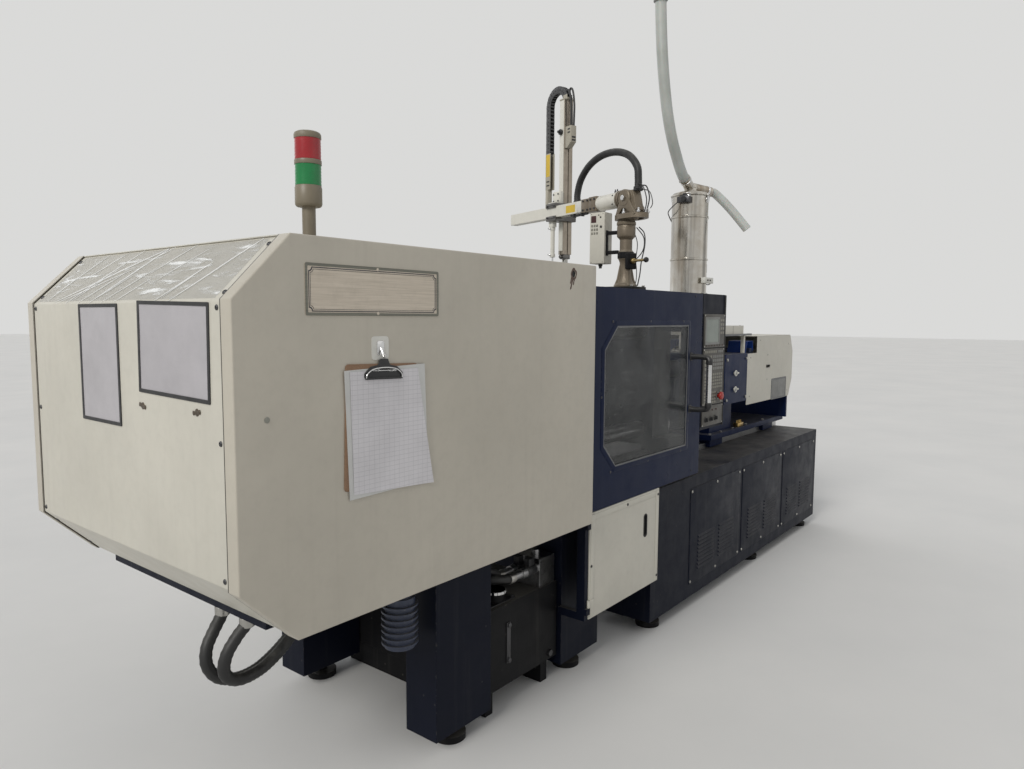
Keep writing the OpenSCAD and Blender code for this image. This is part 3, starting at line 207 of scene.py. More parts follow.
def paint(name, colour, rough=0.42, dust=(0.33, 0.31, 0.27), dusty=0.5, streaks=0.25, wear=0.6,
          bare=(0.30, 0.29, 0.27), peel=0.00012, spots=0.0, glare=0.5):
    """Sprayed paint: cloudy colour, orange peel, dust on top, runs down the sides, rubbed edges."""
    f = Finish(name)
    f.bsdf.inputs["Specular IOR Level"].default_value = glare
    cloud = f.noise(1.7, 4, 0.6)
    fine = f.noise(34, 4, 0.65)
    tone = f.blend(f.span(cloud, 0.3, 0.7), scaled(colour, 0.90), scaled(colour, 1.06))
    tone = f.blend(f.span(fine, 0.45, 0.75, 0, 0.18), tone, scaled(colour, 0.72))
    runs = f.noise(1.0, 5, 0.6, f.place((26, 26, 1.1)))
    runs = f.span(runs, 0.54, 0.74, 0, streaks)
    tone = f.blend(runs, tone, f.blend(0.5, scaled(colour, 0.6), dust))
    if spots:
        dots = f.span(f.cells(19.0), 0.05, 0.085, spots, 0)
        tone = f.blend(dots, tone, scaled(dust, 0.35))
    settle = f.maths("MULTIPLY", f.upward(), f.span(f.noise(5.5, 5, 0.7), 0.3, 0.75, 0.25, 1.0))
    settle = f.maths("MULTIPLY", settle, dusty)
    tone = f.blend(settle, tone, dust)
    rounded, edge = f.edges(0.0025)
    rub = f.maths("MULTIPLY", edge, f.span(f.noise(46, 4, 0.7), 0.52, 0.66, 0, wear))
    tone = f.blend(rub, tone, bare)
    shine = f.span(f.noise(12, 5, 0.6), 0.3, 0.75, rough - 0.08, rough + 0.13)
    shine = f.maths("ADD", shine, f.maths("MULTIPLY", settle, 0.35))
    normal = f.bump(f.noise(260.0, 2, 0.5), peel, 1.0, rounded)
    return f.done(tone, shine, normal)


def steel(name, colour, rough=0.3, lines=(1, 1, 1), grime=0.35):
    """Turned or ground metal: fine lines, oil film and dark grime."""
    f = Finish(name, Metallic=1.0)
    grain = f.noise(1.0, 3, 0.6, f.place(lines))
    film = f.noise(7, 5, 0.65)
    tone = f.blend(f.span(film, 0.35, 0.7), scaled(colour, 1.05), scaled(colour, 0.78))
    tone = f.blend(f.span(f.noise(21, 5, 0.7), 0.52, 0.78, 0, grime), tone, (0.06, 0.05, 0.04))
    rounded, edge = f.edges(0.0015)
    tone = f.blend(f.maths("MULTIPLY", edge, 0.4), tone, scaled(colour, 1.3))
    shine = f.span(f.maths("ADD", grain, f.maths("MULTIPLY", film, 0.6)), 0.5, 1.2, rough - 0.1,
                   rough + 0.16)
    return f.done(tone, shine, f.bump(grain, 0.00008, 0.8, rounded))


def plastic(name, colour, rough=0.45, grain=0.00006, scale=900.0, radius=0.0012, dusty=0.25):
    """Moulded plastic or rubber with fine grain, dull patches and some dust."""
    f = Finish(name)
    tone = f.blend(f.span(f.noise(9, 4, 0.6), 0.3, 0.75), scaled(colour, 1.12),
        scaled(colour, 0.84))
    settle = f.maths("MULTIPLY", f.upward(0.2, 0.9), f.span(f.noise(30, 4, 0.7), 0.35, 0.7, 0,
        dusty))
    tone = f.blend(settle, tone, (0.3, 0.29, 0.26))
    rounded, edge = f.edges(radius)
    tone = f.blend(f.maths("MULTIPLY", edge, 0.25), tone, f.blend(0.3, colour, (0.5, 0.5, 0.48)))
    shine = f.span(f.noise(22, 4, 0.6), 0.3, 0.7, rough - 0.07, rough + 0.14)
    return f.done(tone, shine, f.bump(f.noise(scale, 2, 0.5), grain, 1.0, rounded))


def sheet_glass(name, colour, alpha):
    """Clear sheet, scuffed and cloudy, which still lets the inside show."""
    f = Finish(name)
    f.bsdf.inputs["IOR"].default_value = 1.49
    haze = f.noise(4.5, 5, 0.62, warp=0.6)
    scuff = f.noise(1.0, 6, 0.7, f.place((9, 9, 120), (0.25, 0.5, 0.2)))
    scuff2 = f.noise(1.0, 6, 0.7, f.place((110, 60, 8), (0.1, -0.6, 0.3)))
    marks = f.maths("MAXIMUM", f.span(scuff, 0.6, 0.78), f.span(scuff2, 0.62, 0.8))
    tone = f.blend(f.span(haze, 0.3, 0.75), colour, scaled(colour, 1.6))
    tone = f.blend(f.maths("MULTIPLY", marks, 0.5), tone, (0.6, 0.6, 0.58))
    see = f.maths("ADD", f.span(haze, 0.3, 0.8, alpha - 0.14, alpha + 0.16),
                  f.maths("MULTIPLY", marks, 0.22))
    shine = f.span(f.noise(15, 4, 0.6), 0.3, 0.7, 0.08, 0.28)
    return f.done(tone, shine, f.bump(haze, 0.0006, 0.7), alpha=see)


CREAM = (0.60, 0.575, 0.50)
NAVY = (0.005, 0.011, 0.040)

paint("cream_paint", CREAM, 0.44, dust=(0.30, 0.27, 0.22), dusty=0.16, streaks=0.10, wear=0.5,
      bare=(0.22, 0.20, 0.17), peel=0.00010)
paint("navy_paint", (0.006, 0.008, 0.017), 0.42, dusty=0.3, streaks=0.07, spots=0.25, glare=0.1)
paint("door_paint", NAVY, 0.34, dusty=0.3, streaks=0.05, glare=0.1)
paint("blue_paint", (0.007, 0.015, 0.054), 0.36, dusty=0.35, streaks=0.06, glare=0.1)
paint("black_paint", (0.012, 0.012, 0.013), 0.48, dusty=0.4, streaks=0.08, wear=0.5, spots=0.5,
      glare=0.1)
paint("unit_paint", (0.035, 0.045, 0.08), 0.42, streaks=0.3, wear=0.7)
plastic("black_plastic", (0.014, 0.014, 0.015), 0.42)
plastic("hose_rubber", (0.014, 0.014, 0.014), 0.5, 0.0002, 420)
steel("machined_steel", (0.42, 0.42, 0.42), 0.32, (60, 700, 700))
plastic("lens_red", (0.36, 0.016, 0.022), 0.2, 0.00003, 300, dusty=0.1)
plastic("stop_red", (0.36, 0.018, 0.012), 0.3, dusty=0.1)
plastic("panel_film", (0.075, 0.07, 0.06), 0.45)
plastic("hose_clear", (0.50, 0.50, 0.46), 0.3)


def stainless():
    """Polished sheet steel with vertical polishing lines, smears, a few warm stains, and
    golden-brown and dark bands down it that are painted reflections of the surroundings.
    """
    f = Finish("stainless", Metallic=1.0)
    f.bsdf.inputs["Anisotropic"].default_value = 0.5
    lines = f.noise(1.0, 4, 0.6, f.place((420, 420, 9)))
    smear = f.noise(6.5, 5, 0.62, warp=0.5)
    tone = f.blend(f.span(smear, 0.3, 0.75), (0.60, 0.585, 0.55), (0.40, 0.36, 0.30))
    tone = f.blend(f.span(f.noise(2.6, 5, 0.7), 0.5, 0.75, 0, 0.35), tone, (0.34, 0.26, 0.17))
    # Golden-brown and dark bands that run down the shell: painted reflections of the surroundings
    bands = f.noise(1.0, 3, 0.55, f.place((11, 11, 0.35)))
    tone = f.blend(f.span(bands, 0.52, 0.66, 0, 0.75), tone, (0.17, 0.115, 0.06))
    tone = f.blend(f.span(bands, 0.44, 0.36, 0, 0.6), tone, (0.13, 0.125, 0.115))
    rounded, edge = f.edges(0.002)
    shine = f.span(f.maths("ADD", f.maths("MULTIPLY", lines, 0.5), smear), 0.5, 1.2, 0.13, 0.34)
    return f.done(tone, shine, f.bump(lines, 0.00005, 0.6, rounded))


def cast_bronze():
    """Hammered enamel on castings."""
    f = Finish("cast_bronze", Metallic=0.35)
    dents = f.cells(210.0)
    tone = f.blend(f.span(f.noise(5, 4, 0.6), 0.3, 0.7), (0.15, 0.12, 0.085), (0.22, 0.18, 0.13))
    tone = f.blend(f.span(dents, 0.0, 0.6, 0.35, 0.0), tone, (0.12, 0.10, 0.075))
    tone = f.blend(f.maths("MULTIPLY", f.upward(), 0.3), tone, (0.36, 0.33, 0.28))
    rounded, edge = f.edges(0.003)
    tone = f.blend(f.maths("MULTIPLY", edge, 0.35), tone, (0.45, 0.42, 0.36))
    return f.done(tone, f.span(f.noise(15, 4, 0.6), 0.3, 0.7, 0.32, 0.5),
                  f.bump(dents, 0.0009, 0.7, rounded))


def arm_alloy():
    """Anodised profile with drawing lines along its length."""
    f = Finish("arm_alloy", Metallic=0.85)
    lines = f.noise(1.0, 3, 0.6, f.place((500, 500, 4)))
    smear = f.noise(8, 5, 0.6)
    tone = f.blend(f.span(smear, 0.3, 0.7), (0.60, 0.60, 0.58), (0.48, 0.475, 0.45))
    tone = f.blend(f.span(f.noise(25, 5, 0.7), 0.56, 0.8, 0, 0.5), tone, (0.12, 0.11, 0.10))
    rounded, edge = f.edges(0.002)
    return f.done(tone, f.span(lines, 0.3, 0.7, 0.3, 0.46), f.bump(lines, 0.00006, 0.7, rounded))


def pressed_board():
    """Brown pressed fibre board with flecks and a worn edge."""
    f = Finish("pressed_board", Roughness=0.7)
    fleck = f.noise(420, 4, 0.75)
    tone = f.blend(f.span(fleck, 0.35, 0.7), (0.20, 0.115, 0.065), (0.31, 0.19, 0.115))
    tone = f.blend(f.span(f.noise(14, 4, 0.6), 0.4, 0.75, 0, 0.4), tone, (0.16, 0.09, 0.05))
    rounded, edge = f.edges(0.0015)
    tone = f.blend(f.maths("MULTIPLY", edge, 0.5), tone, (0.38, 0.26, 0.17))
    return f.done(
        tone, f.span(f.noise(30, 3), 0.3, 0.7, 0.55, 0.8), f.bump(fleck, 0.0003, 0.8, rounded))


stainless()
cast_bronze()
arm_alloy()
mats["board"] = pressed_board()
sheet_glass("clear_sheet", (0.055, 0.058, 0.058), 0.42)
steel("chrome", (0.72, 0.72, 0.72), 0.14, (300, 300, 300), 0.12)
steel("zinc", (0.46, 0.45, 0.42), 0.34, (300, 300, 300), 0.4)
steel("dark_steel", (0.10, 0.10, 0.105), 0.38, (200, 200, 200), 0.4)
steel("brass", (0.55, 0.38, 0.14), 0.3, (300, 300, 300), 0.3)
plastic("rubber", (0.010, 0.010, 0.010), 0.6, 0.00015, 500)
plastic("grey_plastic", (0.20, 0.20, 0.19), 0.45)
plastic("white_plastic", (0.66, 0.65, 0.60), 0.4)
plastic("lens_green", (0.008, 0.20, 0.055), 0.2, 0.00003, 300, dusty=0.1)
plastic("lamp_grey", (0.20, 0.17, 0.12), 0.42)


def sleeve(name, colour, ruled=0.0):
    """Paper in a clear sleeve: soft waves that catch the light, and a smooth coat over it."""
    f = Finish(name, Roughness=0.6)
    f.bsdf.inputs["Coat Weight"].default_value = 0.8
    f.bsdf.inputs["Coat Roughness"].default_value = 0.12
    tone = f.blend(f.span(f.noise(6, 4, 0.6), 0.3, 0.7), scaled(colour, 1.05), scaled(colour, 0.86))
    if ruled:
        grid = f.maths("MAXIMUM", f.span(f.wave(26, direction="Z"), 0.975, 0.995),
                       f.span(f.wave(18.5, direction="X"), 0.99, 0.998))
        tone = f.blend(f.maths("MULTIPLY", grid, ruled), tone, (0.10, 0.10, 0.12))
    fold = f.noise(1.0, 3, 0.5, f.place((18, 7, 18), (0.5, 0.3, 0.0)), 0.8)
    return f.done(tone, f.span(f.noise(30, 3), 0.3, 0.7, 0.5, 0.7), f.bump(fold, 0.0016, 0.8))


def clear_film():
    """Thin clear wrap: nearly invisible, with a grey tint, and its creases painted as bright lines
    that are painted glints of light on the folds.
    """
    f = Finish("clear_film", Roughness=0.16)
    crease = f.noise(1.0, 4, 0.6, f.place((26, 4.5, 26), (0.7, 0.2, 0.0)), 1.4)
    # Bright, more opaque lines along the creases: painted glints of light on the folds
    line = f.span(crease, 0.54, 0.68)
    tone = f.blend(line, (0.34, 0.335, 0.32), (0.95, 0.96, 0.95))
    see = f.maths("ADD", 0.30, f.maths("MULTIPLY", line, 0.55))
    return f.done(tone, f.span(crease, 0.3, 0.7, 0.12, 0.3), f.bump(crease, 0.004, 0.9), alpha=see)


def grained_sheet(name, colour, dark):
    """Thin metal sheet with a drawn grain along its length."""
    f = Finish(name, Metallic=0.4)
    grain = f.noise(1.0, 4, 0.6, f.place((8, 160, 500)))
    tone = f.blend(f.span(grain, 0.35, 0.7), colour, dark)
    tone = f.blend(f.span(f.noise(14, 5, 0.7), 0.5, 0.8, 0, 0.35), tone, scaled(dark, 0.6))
    rounded, edge = f.edges(0.001)
    return f.done(tone, f.span(grain, 0.3, 0.7, 0.35, 0.52),
                  f.bump(grain, 0.00008, 0.7, rounded))


# Cream paint of the side covers, made darker and warmer and with darker dust: painted shade of the
# sides, which turn away from the window light
paint("shaded_cream_paint", (0.53, 0.492, 0.415), 0.42, dust=(0.26, 0.22, 0.17), dusty=0.16,
      streaks=0.10, wear=0.5, bare=(0.22, 0.20, 0.17), peel=0.00010)


def seam_line(mat, middle, half):
    """Dark line along the side covers' folds where they meet the end cover and the top cover."""
    tree = mat.node_tree
    bsdf = next(n for n in tree.nodes if n.type == "BSDF_PRINCIPLED")
    tone = bsdf.inputs["Base Color"].links[0].from_socket
    coord, split, size, near, mix = [tree.nodes.new("ShaderNode" + kind) for kind in (
        "TexCoord", "SeparateXYZ", "Math", "Math", "Mix")]
    size.operation, near.operation, mix.data_type = "ABSOLUTE", "COMPARE", "RGBA"
    near.inputs[1].default_value, near.inputs[2].default_value = middle, half
    mix.inputs["B"].default_value = (0.05, 0.045, 0.035, 1)
    for a, b in ((coord.outputs["Object"], split.inputs[0]), (split.outputs[1], size.inputs[0]),
                 (size.outputs[0], near.inputs[0]), (near.outputs[0], mix.inputs["Factor"]),
                 (tone, mix.inputs["A"]), (mix.outputs["Result"], bsdf.inputs["Base Color"])):
        tree.links.new(a, b)


seam_line(mats["shaded_cream_paint"], 0.5278, 0.0018)
sleeve("sleeved_paper", (0.44, 0.42, 0.44))
sleeve("ruled_paper", (0.66, 0.64, 0.66), 0.3)
sleeve("plain_paper", (0.58, 0.58, 0.56))
clear_film()
grained_sheet("brushed_plate", (0.62, 0.55, 0.46), (0.50, 0.44, 0.36))
grained_sheet("rim_paint", (0.20, 0.20, 0.20), (0.10, 0.105, 0.11))
plastic("screen_glass", (0.22, 0.25, 0.22), 0.14, 0.00002, 200, dusty=0.1)
plastic("key_cream", (0.22, 0.21, 0.175), 0.4)
plastic("dark_lens", (0.05, 0.012, 0.012), 0.18, 0.00002, 300, dusty=0.1)
paint("bright_blue", (0.014, 0.06, 0.30), 0.36, dusty=0.35, streaks=0.15, wear=0.6)
steel("dark_bronze", (0.16, 0.13, 0.10), 0.36, (300, 300, 300), 0.3)
plastic("plug_grey", (0.28, 0.28, 0.24), 0.3)
grained_sheet("border_grey", (0.20, 0.20, 0.165), (0.15, 0.15, 0.125))
# Near-white of the film's creases: painted glints of light on the folds
plastic("fold_glint_white", (0.96, 0.97, 0.96), 0.25, dusty=0.0, radius=0.0003)
plastic("old_glue", (0.075, 0.035, 0.02), 0.35)
paint("pale_alloy", (0.68, 0.66, 0.59), 0.36, dusty=0.25, streaks=0.15, wear=0.5)
paint("bracket_cream", (0.40, 0.37, 0.30), 0.4, dusty=0.25, streaks=0.2, wear=0.5)
steel("dark_alloy", (0.16, 0.155, 0.15), 0.4, (200, 200, 200), 0.4)
# Brown of the picker's upright arm: painted shade of its sides that turn away from the window light
steel("arm_shade_brown", (0.33, 0.29, 0.24), 0.36, (500, 500, 6), 0.35)
steel("brass_dull", (0.38, 0.29, 0.14), 0.36, (300, 300, 300), 0.4)
plastic("chain_grey", (0.05, 0.05, 0.052), 0.42)
plastic("yellow_film", (0.62, 0.42, 0.03), 0.4, dusty=0.15)

slot_of = {row["node"]: row["material_slot"] for row in frame["record"]["subparts"]}
for name, obj in frame["nodes"].items():
    obj.data.materials.clear()
    obj.data.materials.append(mats[slot_of[name]])


# ---- Shapes ----

def lifted(p, k, plane):
    """Point of a flat outline at the distance k along the plane's normal axis."""
    return Vector({"xz": (p[0], k, p[1]), "yz": (k, p[0], p[1]), "xy": (p[0], p[1], k)}[plane])


def ellipse(cx, cz, rx, rz, n):
    return [(cx + rx * math.cos(t), cz + rz * math.sin(t))
            for t in [2 * math.pi * i / n for i in range(n)]]


def circle(cx, cz, r, n=24):
    return ellipse(cx, cz, r, r, n)


class Shape:
    """Collects faces in millimetres and turns them into one object in metres.

    The move given here is made with the whole shape, at the end. A move given
    to one of the methods is made with what that method adds."""

    def __init__(self, move=None):
        self.bm = bmesh.new()
        self.move = move

    def ring(self, points):
        return [self.bm.verts.new(p) for p in points]

    def skin(self, rings):
        """Faces between each two rings that follow each other, with the same number of points."""
        for a, b in zip(rings, rings[1:]):
            for i in range(len(a)):
                j = (i + 1) % len(a)
                self.bm.faces.new((a[i], a[j], b[j], b[i]))
        return self

    def _placed(self, verts, move):
        if move is not None:
            bmesh.ops.transform(self.bm, matrix=move, verts=verts)

    def box(self, lo, hi, bevel=1.0, seg=2, move=None):
        size = [hi[i] - lo[i] for i in range(3)]
        mid = [(hi[i] + lo[i]) / 2 for i in range(3)]
        made = bmesh.ops.create_cube(self.bm, size=1.0)["verts"]
        for v in made:
            v.co = Vector((v.co[i] * size[i] + mid[i] for i in range(3)))
        if bevel > 0:
            b = min(bevel, 0.45 * min(size))
            edges = list({e for v in made for e in v.link_edges})
            out = bmesh.ops.bevel(self.bm, geom=edges, offset=b, segments=seg, affect="EDGES",
                                  profile=0.5)
            made = list({v for f in out["faces"] for v in f.verts}
                        | {v for v in made if v.is_valid})
        self._placed(made, move)
        return self

    def prism(self, pts, a, b, plane="xz", bevel=0.0, move=None):
        """Flat outline drawn in a plane and made thick between a and b along the third axis."""
        n = len(pts)
        lo, hi = [self.ring(lifted(p, k, plane) for p in pts) for k in (a, b)]
        faces = [self.bm.faces.new(lo[::-1]), self.bm.faces.new(hi)]
        for i in range(n):
            faces.append(self.bm.faces.new((lo[i], lo[(i + 1) % n], hi[(i + 1) % n], hi[i])))
        bmesh.ops.recalc_face_normals(self.bm, faces=faces)
        made = lo + hi
        if bevel > 0:
            rim = [e for e in {e for v in made for e in v.link_edges}
                   if (e.verts[0] in lo) == (e.verts[1] in lo)]
            out = bmesh.ops.bevel(self.bm, geom=rim, offset=bevel, segments=2, affect="EDGES",
                                  profile=0.5)
            made = list({v for f in out["faces"] for v in f.verts}
                        | {v for v in made if v.is_valid})
        self._placed(made, move)
        return self

    def turned(self, profile, at, axis="z", seg=32, move=None):
        """Profile of (radius, height) turned about an axis through a point."""
        a = {"x": Matrix.Rotation(math.pi / 2, 4, "Y"), "-x": Matrix.Rotation(-math.pi / 2, 4, "Y"),
             "y": Matrix.Rotation(-math.pi / 2, 4, "X"), "-y": Matrix.Rotation(math.pi / 2, 4, "X"),
             "z": Matrix.Identity(4), "-z": Matrix.Rotation(math.pi, 4, "X")}[axis]
        m = Matrix.Translation(at) @ a
        if move is not None:
            m = move @ m
        rings = []
        for r, h in profile:
            if r < 1e-6:
                rings.append([self.bm.verts.new(m @ Vector((0, 0, h)))])
            else:
                rings.append(self.ring(m @ Vector((*p, h)) for p in circle(0, 0, r, seg)))
        for p, q in zip(rings, rings[1:]):
            for i in range(seg):
                j = (i + 1) % seg
                if len(p) == 1:
                    self.bm.faces.new((p[0], q[j], q[i]))
                elif len(q) == 1:
                    self.bm.faces.new((p[i], p[j], q[0]))
                else:
                    self.bm.faces.new((p[i], p[j], q[j], q[i]))
        for end, flip in ((rings[0], True), (rings[-1], False)):
            if len(end) > 1:
                self.bm.faces.new(end[::-1] if flip else end)
        return self

    def sweep(self, path, r, seg=12, move=None, ribs=None, closed=False):
        """Round bar along a path. ribs is (pitch, height) of rings along it."""
        pts = [Vector(p) for p in path]
        if ribs:
            fine = []
            for p, q in zip(pts, pts[1:]):
                k = max(1, int(round((q - p).length / (ribs[0] / 2))))
                fine += [p.lerp(q, i / k) for i in range(k)]
            pts = fine + [pts[-1]]
        n = len(pts)
        rings = []
        side = None
        for i, p in enumerate(pts):
            before = pts[(i - 1) % n] if closed else pts[max(0, i - 1)]
            after = pts[(i + 1) % n] if closed else pts[min(n - 1, i + 1)]
            d = (after - before).normalized()
            if side is None:
                side = d.orthogonal().normalized()
            side = (side - d * side.dot(d)).normalized()
            other = d.cross(side)
            k = r(i / (n - 1)) if callable(r) else r
            if ribs:
                k += ribs[1] if i % 2 else 0.0
            rings.append(self.ring(p + side * u + other * v for u, v in circle(0, 0, k, seg)))
        self.skin(rings + rings[:1] if closed else rings)
        if not closed:
            self.bm.faces.new(rings[0][::-1])
            self.bm.faces.new(rings[-1])
        self._placed([v for ring in rings for v in ring], move)
        return self

    def grid(self, fn, nu, nv):
        """Sheet of nu by nv cells through fn(u, v)."""
        vs = [[self.bm.verts.new(Vector(fn(i / nu, j / nv))) for j in range(nv + 1)]
              for i in range(nu + 1)]
        for i in range(nu):
            for j in range(nv):
                self.bm.faces.new((vs[i][j], vs[i + 1][j], vs[i + 1][j + 1], vs[i][j + 1]))
        return self

    def hexagon(self, across, height, at, axis="z", move=None):
        """Hexagon head with a chamfered top."""
        r = across / math.sqrt(3)
        return self.turned([(r * 0.98, 0), (r, 0.3), (r, height - 0.8), (r * 0.9, height),
                            (0, height)], at, axis, 6, move)

    def done(self, name, mat, body="machine", slot=None, angle=32, hides=None):
        """One object on its body, with its finish, in place of the hidden nodes. The slot argument
        is not used.
        """
        self._placed(self.bm.verts, self.move)
        for v in self.bm.verts:
            v.co *= MM
        bmesh.ops.recalc_face_normals(self.bm, faces=self.bm.faces)
        mesh = bpy.data.meshes.new(name)
        self.bm.to_mesh(mesh)
        self.bm.free()
        for p in mesh.polygons:
            p.use_smooth = True
        obj = bpy.data.objects.new(name, mesh)
        scene.collection.objects.link(obj)
        mesh.set_sharp_from_angle(angle=math.radians(angle))
        mesh.materials.append(mats[mat])
        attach(obj, body)
        if hides:
            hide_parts(hides)
        return obj


OUTWARD = {-1: "-y", 1: "y"}
PARK = math.radians(71.6)
NECK_X, NECK_Y = 75, -110
# Frame of the parked picker: its beam runs along X from the neck's axis
PICKER = Matrix.Translation((NECK_X, NECK_Y, 0)) @ Matrix.Rotation(PARK, 4, "Z")


def smooth(points, n=6):
    """Catmull-Rom points through a route."""
    p = [Vector(q) for q in points]
    out = []
    for i in range(len(p) - 1):
        a, b, c, d = p[max(i - 1, 0)], p[i], p[i + 1], p[min(i + 2, len(p) - 1)]
        for k in range(n):
            t = k / n
            out.append(0.5 * ((2 * b) + (c - a) * t + (2 * a - 5 * b + 4 * c - d) * t * t
                              + (3 * b - a - 3 * c + d) * t ** 3))
    return out + [p[-1]]


def rounded_rect(x0, x1, z0, z1, r, n=4):
    out = []
    for cx, cz, a0 in ((x1 - r, z1 - r, 0), (x0 + r, z1 - r, 90), (x0 + r, z0 + r, 180),
                       (x1 - r, z0 + r, 270)):
        for i in range(n + 1):
            a = math.radians(a0 + 90 * i / n)
            out.append((cx + r * math.cos(a), cz + r * math.sin(a)))
    return out


def ring_plate(shape, outer, inner, a, b, plane="xz"):
    """Flat frame between two outlines with the same number of points."""
    rows = [shape.ring(lifted(p, k, plane) for p in pts)
            for pts, k in ((outer, a), (outer, b), (inner, b), (inner, a))]
    return shape.skin(rows + rows[:1])


def button_head(shape, at, axis, r=6.5, h=3.6, move=None):
    """Domed screw head with a hexagon recess."""
    shape.turned([(r, 0), (r, 0.6), (r * 0.93, h * 0.55), (r * 0.72, h * 0.88), (r * 0.5, h),
                  (r * 0.42, h), (r * 0.38, h * 0.25), (0, h * 0.25)], at, axis, 18, move)


# ---- Cords: two oil hoses, the suction hose, the vent hose and the picker's arch hose ----


HOSE_A = [(-2180, -300, 640), (-2180, -300, 620), (-2206, -294, 590), (-2232, -288, 550),
          (-2238, -282, 506), (-2214, -274, 472), (-2170, -266, 456), (-2110, -258, 460),
          (-2050, -252, 486), (-1996, -248, 526), (-1936, -246, 568), (-1860, -248, 598),
          (-1770, -252, 608), (-1680, -256, 600), (-1580, -256, 580), (-1480, -256, 558),
          (-1380, -256, 538), (-1310, -260, 524), (-1260, -284, 512), (-1215, -308, 496),
          (-1180, -321, 477), (-1170, -322, 472), (-1150, -322, 472)]
HOSE_B = [(-2180, -180, 640), (-2180, -180, 616), (-2208, -186, 580), (-2234, -192, 540),
          (-2238, -198, 494), (-2212, -204, 454), (-2160, -206, 432), (-2100, -208, 436),
          (-2044, -210, 462), (-1988, -214, 502), (-1926, -216, 536), (-1850, -218, 552),
          (-1760, -218, 552), (-1660, -218, 538), (-1560, -218, 518), (-1470, -218, 496),
          (-1380, -222, 480), (-1310, -248, 474), (-1260, -304, 473), (-1215, -350, 475),
          (-1180, -370, 473), (-1170, -372, 472), (-1150, -372, 472)]
SUCTION = [(941, 0, 2251.5), (920, 0, 2262.6), (876, 0, 2304), (826, 0, 2366), (780, 0, 2430),
           (738, 0, 2504), (702, 0, 2586), (672, 0, 2680), (645, 0, 2784), (622, 0, 2900),
           (606, 0, 3020), (592, 0, 3160)]
VENT = [(1159.5, -74.8, 2191), (1180, -86.6, 2187.7), (1204, -106, 2166), (1228, -142, 2124),
        (1248, -182, 2074), (1266, -224, 2018), (1282, -262, 1966)]
ARCH = [(201, 269, 2043), (201, 269, 2090), (192, 242, 2160), (171, 177, 2222), (140, 84, 2256),
        (104, -24, 2256), (72, -118, 2222), (53, -176, 2160), (50, -186, 2100), (50, -186, 2046)]


def cords():
    clear = Finish("conveying_hose")
    along = clear.wave(1.0, clear.place((130, 130, 130), (0, 0.35, 0)), "Z", 1.5)
    tone = clear.blend(clear.span(clear.noise(6, 4), 0.3, 0.7), (0.53, 0.55, 0.52),
        (0.40, 0.42, 0.39))
    clear.bsdf.inputs["Subsurface Weight"].default_value = 0.1
    clear.done(tone, clear.span(along, 0.2, 0.8, 0.22, 0.4), clear.bump(along, 0.0006, 0.5))

    def coupling():
        ends = Shape(Matrix.Translation((593, 0, 3150)) @ Matrix.Rotation(-0.0997, 4, "Y"))
        ends.turned([(33, 0), (38.6, 2), (38.6, 22), (36, 26), (38.6, 30), (38.6, 48), (35, 50.2),
                     (30, 50.2), (30, 20), (0, 20)], (0, 0, 0), "z", 28)
        return ends.done(
            "suction_coupling", "grey_plastic", "carriage", "hose_clear", hides="loader_hose")

    # Name, route and its fineness, radius, sides, ribs, body, finish, hidden node, diameter, ends
    for (name, route, n, r, seg, ribs, body, mat, node, width, far, lay) in (
            ("oil_hose_front", HOSE_A, 5, 15.6, 14, (15, 1.2), "machine", "hose_rubber",
             "hydraulic_hoses", 0.034, "object", "loose"),
            ("oil_hose_rear", HOSE_B, 5, 15.6, 14, (15, 1.2), "machine", "hose_rubber",
             "hydraulic_hoses", 0.034, "object", "loose"),
            ("suction_hose", SUCTION, 6, 30.8, 20, (14, 1.0), "carriage", "conveying_hose",
             "loader_hose", 0.064, "fitting", "hanging"),
            ("vent_hose", VENT, 6, 25.8, 20, (12, 1.0), "carriage", "conveying_hose",
             "loader_hose", 0.053, "bare", "hanging"),
            ("arch_hose", ARCH, 6, 17.6, 16, (10, 1.2), "picker_head", "hose_rubber",
             "picker_hose", 0.038, "object", "loose")):
        more = {"with_pieces": [coupling()]} if far == "fitting" else {}
        line = smooth(route, n)
        obj = Shape().sweep(line, r, seg, ribs=ribs).done(name, mat, body, hides=node)


cords()


# ---- Stage ----

